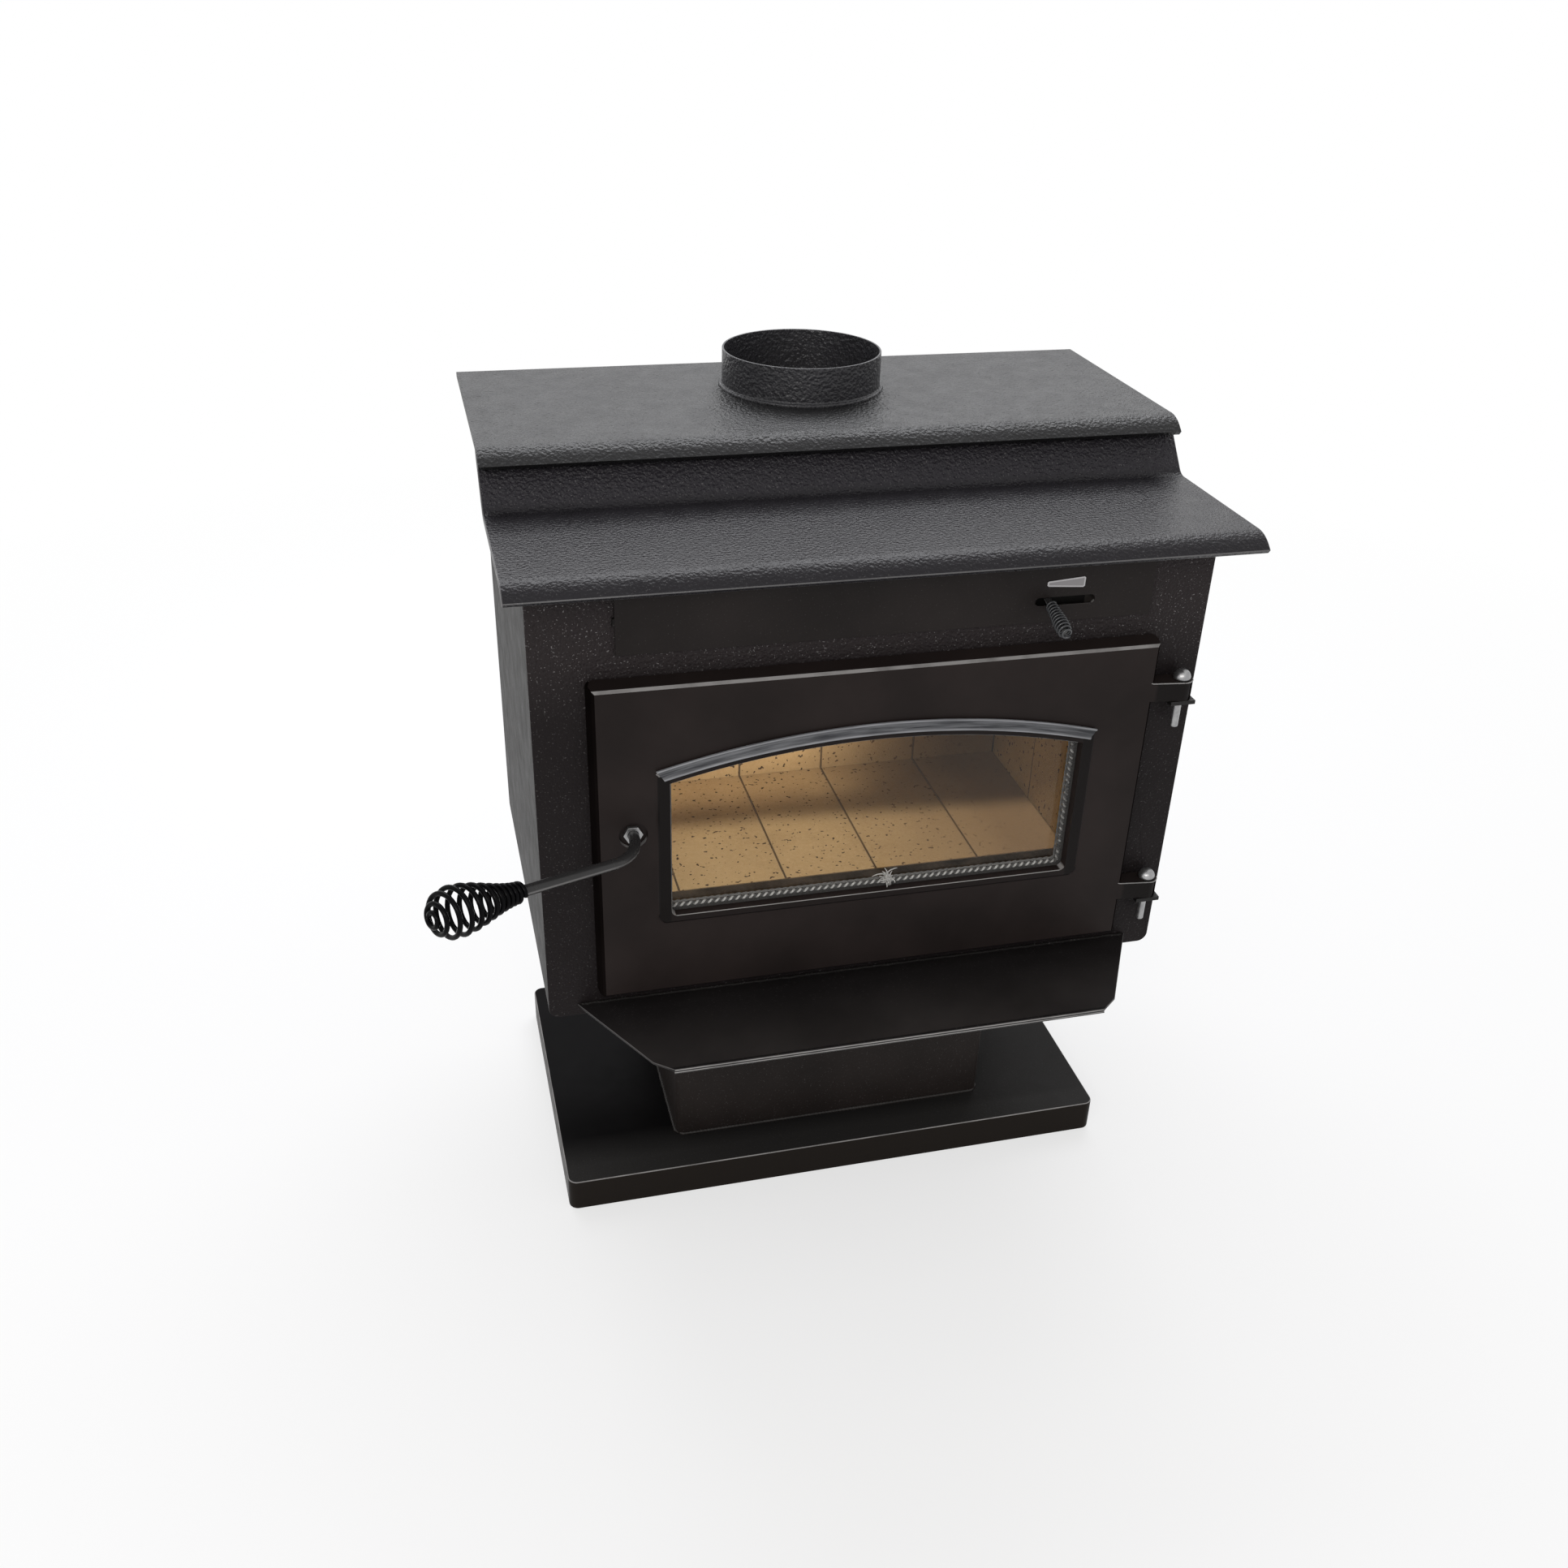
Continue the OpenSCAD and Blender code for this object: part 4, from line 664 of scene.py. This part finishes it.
def frame_painted_shade(tree):
    """Painted shade: the raised frame beside the window and the walls that face down are darker.
    """
    sides = spread(tree, reckon(tree, "ABSOLUTE", along(tree, "X"), 0), window_half - 0.0005,
                   window_half + 0.0010, 0.45, 0.95)
    face = reckon(tree, "MULTIPLY", sides,
                  spread(tree, along(tree, "Y"), frame_y + 0.0012, frame_y + 0.0008))
    return reckon(tree, "MAXIMUM", face, spread(tree, upward(tree), -0.25, -0.55))


def sloped_frame(door):
    """The raised frame's outer wall leans in, as a pattern has to be drawn from its sand."""
    for v in door.data.vertices:
        if v.co.y > frame_y + 0.0001 or abs(v.co.x) > window_half + frame_w + 0.001:
            continue
        out = Vector((v.co.x, 0, v.co.z - arch_z))
        if abs(v.co.x) > window_half + frame_w - 0.0005:
            v.co.x -= math.copysign(frame_slope, v.co.x)
        if v.co.z < window_foot - 0.006:
            v.co.z += frame_slope
        elif out.length > arch_r + frame_w - 0.0005:
            v.co -= out.normalized() * frame_slope


# Painted shade on the raised frame and the walls that face down, and lighter folds that face up,
# partly wear and partly painted highlight.
door_paint = stove_paint("door_paint", (0.0168, 0.0124, 0.0116), 0.46, 0.10, peel=0.0026,
                         depth=0.00014, rubbed_and_highlit=0.8, coarse=frame_painted_shade,
                         tone_and_painted_light=(0.0052, 0.0040, 0.0038))
door = dressed("door_casting", 0.0009, door_paint, "door", steps=3, name="door",
               shape=sloped_frame)
# Painted shade: the door's left and right side walls are dark and without gloss.
door_side_shade = stove_paint("door_side_shade", (0.0052, 0.0040, 0.0038), 0.6, 0.0)
door.data.materials.append(door_side_shade)
wall_x, wall_turn = 0.25, 0.45
for face in door.data.polygons:
    if abs(face.normal.x) > wall_turn and abs(face.center.x) > wall_x:
        face.material_index = 1
# Painted highlight: a light wire along each lug's top front edge.
arris_highlight = stove_paint("arris_highlight", (0.26, 0.255, 0.25), 0.36, 0.5)
hinge, lug_r, lug_tops = Vector((0.2904, -0.2145, 0)), 0.0105, (0.3744, 0.5953)
lug_end = [hinge + Vector((lug_r * math.cos(math.radians(a)), lug_r * math.sin(math.radians(a)),
                           0)) for a in range(-90, -9, 8)]
lug_front = [Vector((0.2570, door_face_y, 0.0004)), Vector((0.2590, door_face_y - 0.0005, 0))]
wire("lug_highlight", [[p + Vector((0, 0.0004, z - 0.0004)) for p in lug_front + lug_end]
                   for z in lug_tops], 0.0006, "door", sides=6,
     material=arris_highlight)

# ---- Arched moulding ----------------------------------------------------------------------
# A drip edge cast over the window on the window's own arc: a bead at its foot, a hollow, and
# a smaller bead on top, cut off at a slant at both ends. Its paint is grey in streaks, partly
# from the wear of hands and partly a painted sheen, and its two beads are painted lighter as
# highlights.

moulding_profile = [  # height over the window's arc, and distance out of the door's face
    (5.6, 1.9), (5.6, 5.2), (6.1, 5.9), (6.9, 6.0), (7.6, 5.6), (8.1, 4.7), (8.9, 4.2),
    (11.2, 4.0), (13.0, 3.5), (13.5, 3.1), (14.1, 3.2), (14.6, 3.9), (15.4, 4.0), (16.0, 3.6),
    (16.2, 2.9), (16.2, 1.9)]
moulding_foot, moulding_top = 0.0056, 0.0162
end_x, slant, half_arc = window_half + frame_w, math.radians(40), math.radians(17)
bpy.ops.mesh.primitive_circle_add(vertices=len(moulding_profile), radius=0.01,
                                  fill_type="NOTHING")
moulding = bpy.context.object
moulding.name = moulding.data.name = "moulding"
for v, (height, out) in zip(moulding.data.vertices, moulding_profile):
    radius = arch_r + height / 1000
    v.co = (-radius * math.sin(half_arc), door_face_y - out / 1000,
            arch_z + radius * math.cos(half_arc))
bpy.ops.object.mode_set(mode="EDIT")
bpy.ops.mesh.select_all(action="SELECT")
bpy.ops.mesh.spin(steps=90, angle=2 * half_arc, center=(0, 0, arch_z), axis=(0, -1, 0))
tip_z = arch_z + math.sqrt((arch_r + moulding_top) ** 2 - end_x ** 2)
for side in (-1, 1):
    bpy.ops.mesh.select_all(action="SELECT")
    bpy.ops.mesh.bisect(plane_co=(side * end_x, 0, tip_z), use_fill=True, clear_outer=True,
                        plane_no=(side * math.cos(slant), 0, -math.sin(slant)))
bpy.ops.mesh.select_all(action="SELECT")
bpy.ops.mesh.remove_doubles(threshold=same_point)
bpy.ops.mesh.normals_make_consistent(inside=False)
bpy.ops.object.mode_set(mode="OBJECT")
bpy.ops.object.shade_smooth_by_angle(angle=math.radians(42))

# Grey streaks, partly wear and partly painted sheen, with painted highlights on the beads.
rubbed_and_highlit, tree, shader = new_material("moulding_paint")
shader.inputs["Metallic"].default_value = 0.25
shader.inputs["Specular IOR Level"].default_value = 0.4
place = add_node(tree, "ShaderNodeTexCoord").outputs["Object"]
axes = add_node(tree, "ShaderNodeSeparateXYZ", {0: place})
rise = reckon(tree, "SUBTRACT", axes.outputs["Z"], arch_z)
radial = add_node(tree, "ShaderNodeVectorMath", {0: add_node(
    tree, "ShaderNodeCombineXYZ", {0: axes.outputs["X"], 2: rise}).outputs[0]}, operation="LENGTH")
unrolled = add_node(tree, "ShaderNodeCombineXYZ", {0: axes.outputs["X"], 1: axes.outputs["Y"],
                                                   2: radial.outputs["Value"]}).outputs[0]
streak = grain(tree, 0.0022, 4.0, stretch=(0.06, 1, 1), vector=unrolled)
height = spread(tree, radial.outputs["Value"], arch_r + moulding_foot, arch_r + moulding_top)
# Painted highlights: the foot bead and the top bead are lighter.
foot_bead, top_bead = spread(tree, height, 0.26, 0.14), spread(tree, height, 0.80, 0.92)
edges = reckon(tree, "MAXIMUM", foot_bead, top_bead)
share = reckon(tree, "ADD", spread(tree, streak, 0.35, 0.70, 0.0, 0.46),
               reckon(tree, "MULTIPLY", edges, 0.62))
tree.links.new(blend_colors(tree, share, (0.022, 0.023, 0.027), (0.27, 0.275, 0.29)),
               shader.inputs["Base Color"])
tree.links.new(spread(tree, streak, 0.3, 0.7, 0.34, 0.5), shader.inputs["Roughness"])
wear(moulding, rubbed_and_highlit)
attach(moulding, "door")
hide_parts("arch_moulding")

# ---- Glass --------------------------------------------------------------------------------
# One flat pane of 5 mm ceramic glass with a faint brown tint, held by two clips above and two
# below, each with its screw.

glass, tree, shader = new_material("stove_glass")
clear = add_node(tree, "ShaderNodeBsdfTransparent", {"Color": (0.94, 0.90, 0.84, 1)})
gloss = add_node(tree, "ShaderNodeBsdfGlossy", {"Color": (1, 1, 1, 1), "Roughness": 0.03})
rim = add_node(tree, "ShaderNodeFresnel", {"IOR": 1.25})
mixed = add_node(tree, "ShaderNodeMixShader", {0: rim.outputs[0], 1: clear.outputs[0],
                                               2: gloss.outputs[0]})
tree.links.new(mixed.outputs[0], tree.nodes["Material Output"].inputs["Surface"])
wear(nodes["door_glass"], glass)
dressed("glass_clips", 0.0003, zinc, "door", name="clips")
dressed("clip_screws", 0.0004, zinc, "door", name="screws")

# ---- Rope gaskets -------------------------------------------------------------------------
# Braided glass fibre: a thin rope round the glass, drawn as a light strand and a dark strand
# whose darkness is painted shade between the light turns. It shows inside the window and ends
# in a frayed tuft at its foot. Behind it lies a thinner grey one, and in the door's channel a
# thick three-strand rope.


def window_line(right, left, foot, top):
    """Points round the window's outline in [x, z], that far inside each of its sides."""
    arc = arch_r - top
    right, left, foot = window_half - right, left - window_half, window_foot + foot
    first, last = math.asin(right / arc), math.asin(left / arc)
    corner = [(math.cos(math.radians(a)), math.sin(math.radians(a))) for a in range(0, 91, 10)]
    r, steps = window_corner / 2, 80
    arch = [first + (last - first) * k / steps for k in range(steps + 1)]
    return ([(right - r + r * y, foot + r - r * x) for x, y in corner]
            + [(arc * math.sin(a), arch_z + arc * math.cos(a)) for a in arch]
            + [(left + r - r * x, foot + r - r * y) for x, y in corner])


def twisted(outline, y, strands, offset, pitch, step=0.0008):
    """Strands twisted round a closed outline in [x, z] that lies at depth y."""
    corners = [Vector((x, 0, z)) for x, z in outline]
    lengths = [(b - a).length for a, b in zip(corners, corners[1:] + corners[:1])]
    total = sum(lengths)
    count, turns = int(total / step), round(total / pitch)
    spine, k, passed = [], 0, 0.0
    for i in range(count):
        s = total * i / count
        while passed + lengths[k] < s:
            passed += lengths[k]
            k += 1
        spine.append(corners[k].lerp(corners[(k + 1) % len(corners)], (s - passed) / lengths[k]))
    paths = []
    for strand in range(strands):
        path = []
        for i, p in enumerate(spine):
            run = (spine[(i + 3) % count] - spine[i - 3]).normalized()
            side = Vector((-run.z, 0, run.x))
            a = 2 * math.pi * (turns * i / count + strand / strands)
            path.append(p + side * (offset * math.cos(a))
                        + Vector((0, y + offset * math.sin(a), 0)))
        paths.append(path)
    return paths


def rope_material(name, dark, light, darkened=0.0):
    """Glass fibre yarn, which may be darker in patches up the window's right side."""
    material, tree, shader = new_material(name)
    shader.inputs["Roughness"].default_value = 0.7
    shader.inputs["Sheen Weight"].default_value = 0.2
    yarn = grain(tree, 0.0006, 3.0)
    tone = blend_colors(tree, spread(tree, yarn, 0.3, 0.7), dark, light)
    if darkened:
        patchy = spread(tree, grain(tree, 0.004, 3.0, (3, 8, 1)), 0.40, 0.62, darkened, 0.35)
        share = reckon(tree, "MULTIPLY", patchy, spread(tree, along(tree, "X"), 0.184, 0.188))
        tone = blend_colors(tree, share, tone, (0.02, 0.019, 0.018))
    tree.links.new(tone, shader.inputs["Base Color"])
    fluff = add_node(tree, "ShaderNodeBump", {"Height": yarn, "Distance": 0.0002})
    tree.links.new(fluff.outputs[0], shader.inputs["Normal"])
    return material


white_rope = rope_material("glass_rope", (0.20, 0.195, 0.185), (0.62, 0.61, 0.58))
grey_rope = rope_material("grey_rope", (0.02, 0.019, 0.018), (0.09, 0.087, 0.083))
window_rope = rope_material("window_rope", (0.20, 0.195, 0.185), (0.66, 0.65, 0.62), 0.97)
rear_yarn = rope_material("rear_yarn", (0.02, 0.019, 0.018), (0.20, 0.195, 0.185), 0.9)
glass_y, strand_r, rear_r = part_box("door_glass")[0].y, 0.0011, 0.0008
# Painted shade: the second strand is dark, for the shade between the light strand's turns.
light_strand, shaded_strand = twisted(window_line(0.0042, 0.0002, 0.0048, 0.0016),
                                    glass_y - 0.0023, 2, strand_r, 0.0066, 0.0005)
wire("glass_rope_light", [light_strand], strand_r, "door", closed=True, sides=6,
     material=window_rope)
wire("glass_rope_shaded", [shaded_strand], strand_r, "door", closed=True, sides=6,
     material=grey_rope)
rear_strands = twisted(window_line(0.0072, 0.0010, 0.0080, 0.0016), glass_y - 0.0014, 2,
                       0.0006, 0.0128)
wire("glass_rope_rear", rear_strands, rear_r, "door", closed=True, sides=6,
     material=rear_yarn)
rim_line, corner_points = window_line(0, 0, 0, 0), 10
# Painted highlight: a light wire along the window's rim, on the raised frame.
wire("window_highlight", [[(x, frame_y + 0.0006, z)
                       for x, z in rim_line[corner_points + 1:] + rim_line[:corner_points]]],
     0.0005, "door", sides=6, material=arris_highlight)


def thin_tape(tape):
    """The flat tape under the ropes, pressed thin between them and the glass."""
    for v in tape.data.vertices:
        v.co.y = max(v.co.y, glass_y - 0.0012)


dressed("glass_gasket", 0.0003, grey_rope, "door", name="glass_rope_tape", shape=thin_tape)

rolls = random.Random(12)
tuft, tuft_radii = [], []
tuft_x, tuft_z, fibres, long_fibres, fibre_r = 0.0154, 0.4085, 46, 5, 0.0006
for k in range(fibres):
    a, reach = rolls.uniform(0, 2 * math.pi), rolls.uniform(0.003, 0.008)
    lift = rolls.uniform(0, 1)
    root = Vector((tuft_x + rolls.uniform(-0.003, 0.003), glass_y - 0.002,
                   tuft_z + rolls.uniform(-0.003, 0.003)))
    if k < long_fibres:
        a, reach = math.radians(78 + 9 * k), 0.013
    swing, path = rolls.uniform(-1.2, 1.2), []
    for t in (0, 0.3, 0.6, 0.85, 1.0):
        b = a + swing * t
        path.append(root + Vector((math.cos(b), 0, math.sin(b))) * reach * t
                    + Vector((0, -0.006 * lift * math.sin(t * 2.4) - 0.001, 0)))
    tuft.append(path)
    tuft_radii.append([1.0, 1.1, 1.0, 0.8, 0.35])
tuft_fibre = rope_material("tuft_fibre", (0.16, 0.155, 0.15), (0.66, 0.65, 0.62))
wire("rope_end_tuft", tuft, fibre_r, "door", sides=6, radii=tuft_radii,
     material=tuft_fibre)

low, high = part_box("door_gasket")
middle, r, rope_half = (low + high) / 2, 0.005, 0.0048
half_w, half_h = (high.x - low.x) / 2 - rope_half, (high.z - low.z) / 2 - rope_half
outline = [(middle.x + sx * (half_w - r) + r * math.cos(math.radians(start + a)),
            middle.z + sz * (half_h - r) + r * math.sin(math.radians(start + a)))
           for sx, sz, start in ((1, -1, -90), (1, 1, 0), (-1, 1, 90), (-1, -1, 180))
           for a in range(0, 91, 10)]
door_rope = wire("door_rope", twisted(outline, middle.y, 3, 0.0023, 0.026, 0.0018), 0.0024,
                 "door", closed=True, material=white_rope)
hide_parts("door_gasket")

# ---- Handle and latch ---------------------------------------------------------------------
# A 10 mm rod bent outwards from the spindle, with a coil of 4.4 mm wire wound on its end that
# flares into a ball. A nut in the door's recess and one behind the cam hold it.


def rod_highlight(tree):
    """A painted highlight along the rod, low on its sides."""
    up = upward(tree)
    return reckon(tree, "MULTIPLY", spread(tree, up, -0.50, -0.25, 0.12, 1.0),
                  spread(tree, up, 0.12, -0.08, 0.12, 1.0))


# Painted highlight: the rod is lighter low on its sides.
rod_paint = stove_paint("rod_paint", (0.011, 0.0105, 0.011), 0.24, 0.30, depth=0.00008,
                        specks_and_glints=0.1, coarse=rod_highlight, tone_and_painted_light=(0.135, 0.132, 0.130))
wear(nodes["handle_rod"], rod_paint)
coil_paint = stove_paint("coil_paint", (0.0020, 0.0020, 0.0025), 0.16, 0.06, depth=0.00003)
spindle = Vector((-0.2283, -0.2203, 0.4905))
rod_d, rod_lead, bend_r, lean, rise = 0.010, 0.0035, 0.058, math.radians(32), math.radians(12.4)
arm_l, grip_l, grip_d, grip_wire, grip_sag = 0.0996, 0.0878, 0.044, 0.0044, 0.0005
grip_turns, even_pitch, facet_gap = 12.5, 0.61, 0.00005
ball = (grip_d - grip_wire) / 2
neck = (rod_d + grip_wire) / 2 + 0.0001
cone = grip_l - grip_wire / 2 - ball
reach = cone + ball * math.acos(0.85 * grip_wire / ball)
arm = (Matrix.Translation(spindle) @ Matrix.Rotation(rise, 4, "Y")
       @ Matrix.Rotation(math.pi, 4, "Z")
       @ Matrix.Translation((bend_r * (1 - math.sin(lean)), rod_lead + bend_r * math.cos(lean), 0))
       @ Matrix.Rotation(lean, 4, "Z"))
path, steps = [], 36
for i in range(int(grip_turns * steps) + 1):
    s = i / (grip_turns * steps)
    m = reach * (even_pitch * s + (1 - even_pitch) * s ** 4 * (5 - 4 * s))
    if m < cone:
        t = m / cone
        x, radius = m, neck + (ball - neck) * t * t * (3 - 2 * t)
    else:
        x, radius = cone + ball * math.sin((m - cone) / ball), ball * math.cos((m - cone) / ball)
    a = 2 * math.pi * i / steps
    path.append(arm @ Vector((arm_l + x, radius * math.cos(a),
                              radius * math.sin(a) - grip_sag * (x / cone) ** 2)))
grip = wire("grip", [path], grip_wire / 2 - facet_gap, "handle", sides=12,
            material=coil_paint)
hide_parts("handle_coil")
dressed("recess_nut", 0.0006, zinc, "handle", steps=3, name="front_nut")
dressed("latch_cam", 0.0006, steel, "handle", name="cam")
dressed("latch_nut", 0.0005, zinc, "handle", name="back_nut")

# ---- Air control --------------------------------------------------------------------------
# A sliding plate behind the front, moved by a 6 mm rod through the cover's slot. The rod's
# end has a small spindle-shaped coil of 2.3 mm wire.

# The slide's steel is nearly black.
darkened = stove_paint("dark_slide_steel", (0.0045, 0.0042, 0.0040), 0.5, 0.05)
dressed("air_slide", 0.0003, darkened, "air_control", name="slide")
wear(nodes["control_rod"], rod_paint)
control_d, control_wire, tilt, turns = 0.0145, 0.0023, math.radians(17), 11
slide_y, cover_y, control_x, slot_z = -0.1992, -0.2055, 0.151, 0.6788
cover_proud, control_reach, control_rod_d, coil_gap = 0.004, 0.044, 0.006, 0.003
control_neck = (control_rod_d + control_wire) / 2 + 0.0001
bulge = (control_d - control_wire) / 2 - control_neck
control_l = (slide_y - cover_y + control_reach) / math.cos(tilt)
first = cover_proud / math.cos(tilt) + coil_gap + cover_proud
rod = (Matrix.Translation((control_x, slide_y, slot_z + (slide_y - cover_y) * math.tan(tilt)))
       @ Matrix.Rotation(-math.pi / 2, 4, "Z") @ Matrix.Rotation(tilt, 4, "Y"))
path, steps = [], 28
for i in range(turns * steps + 1):
    s, a = i / (turns * steps), 2 * math.pi * i / steps
    radius = control_neck + bulge * math.sin(math.pi * s ** 1.7) - 0.0018 * max(0.0, s - 0.9) * 10
    path.append(rod @ Vector((first + (control_l - first) * s, radius * math.cos(a),
                              radius * math.sin(a))))
worn_coil = stove_paint("worn_coil", (0.030, 0.031, 0.034), 0.24, 0.6, depth=0.00003)
knob = wire("control_grip", [path], control_wire / 2, "air_control", sides=12,
            material=worn_coil)
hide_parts("control_coil")
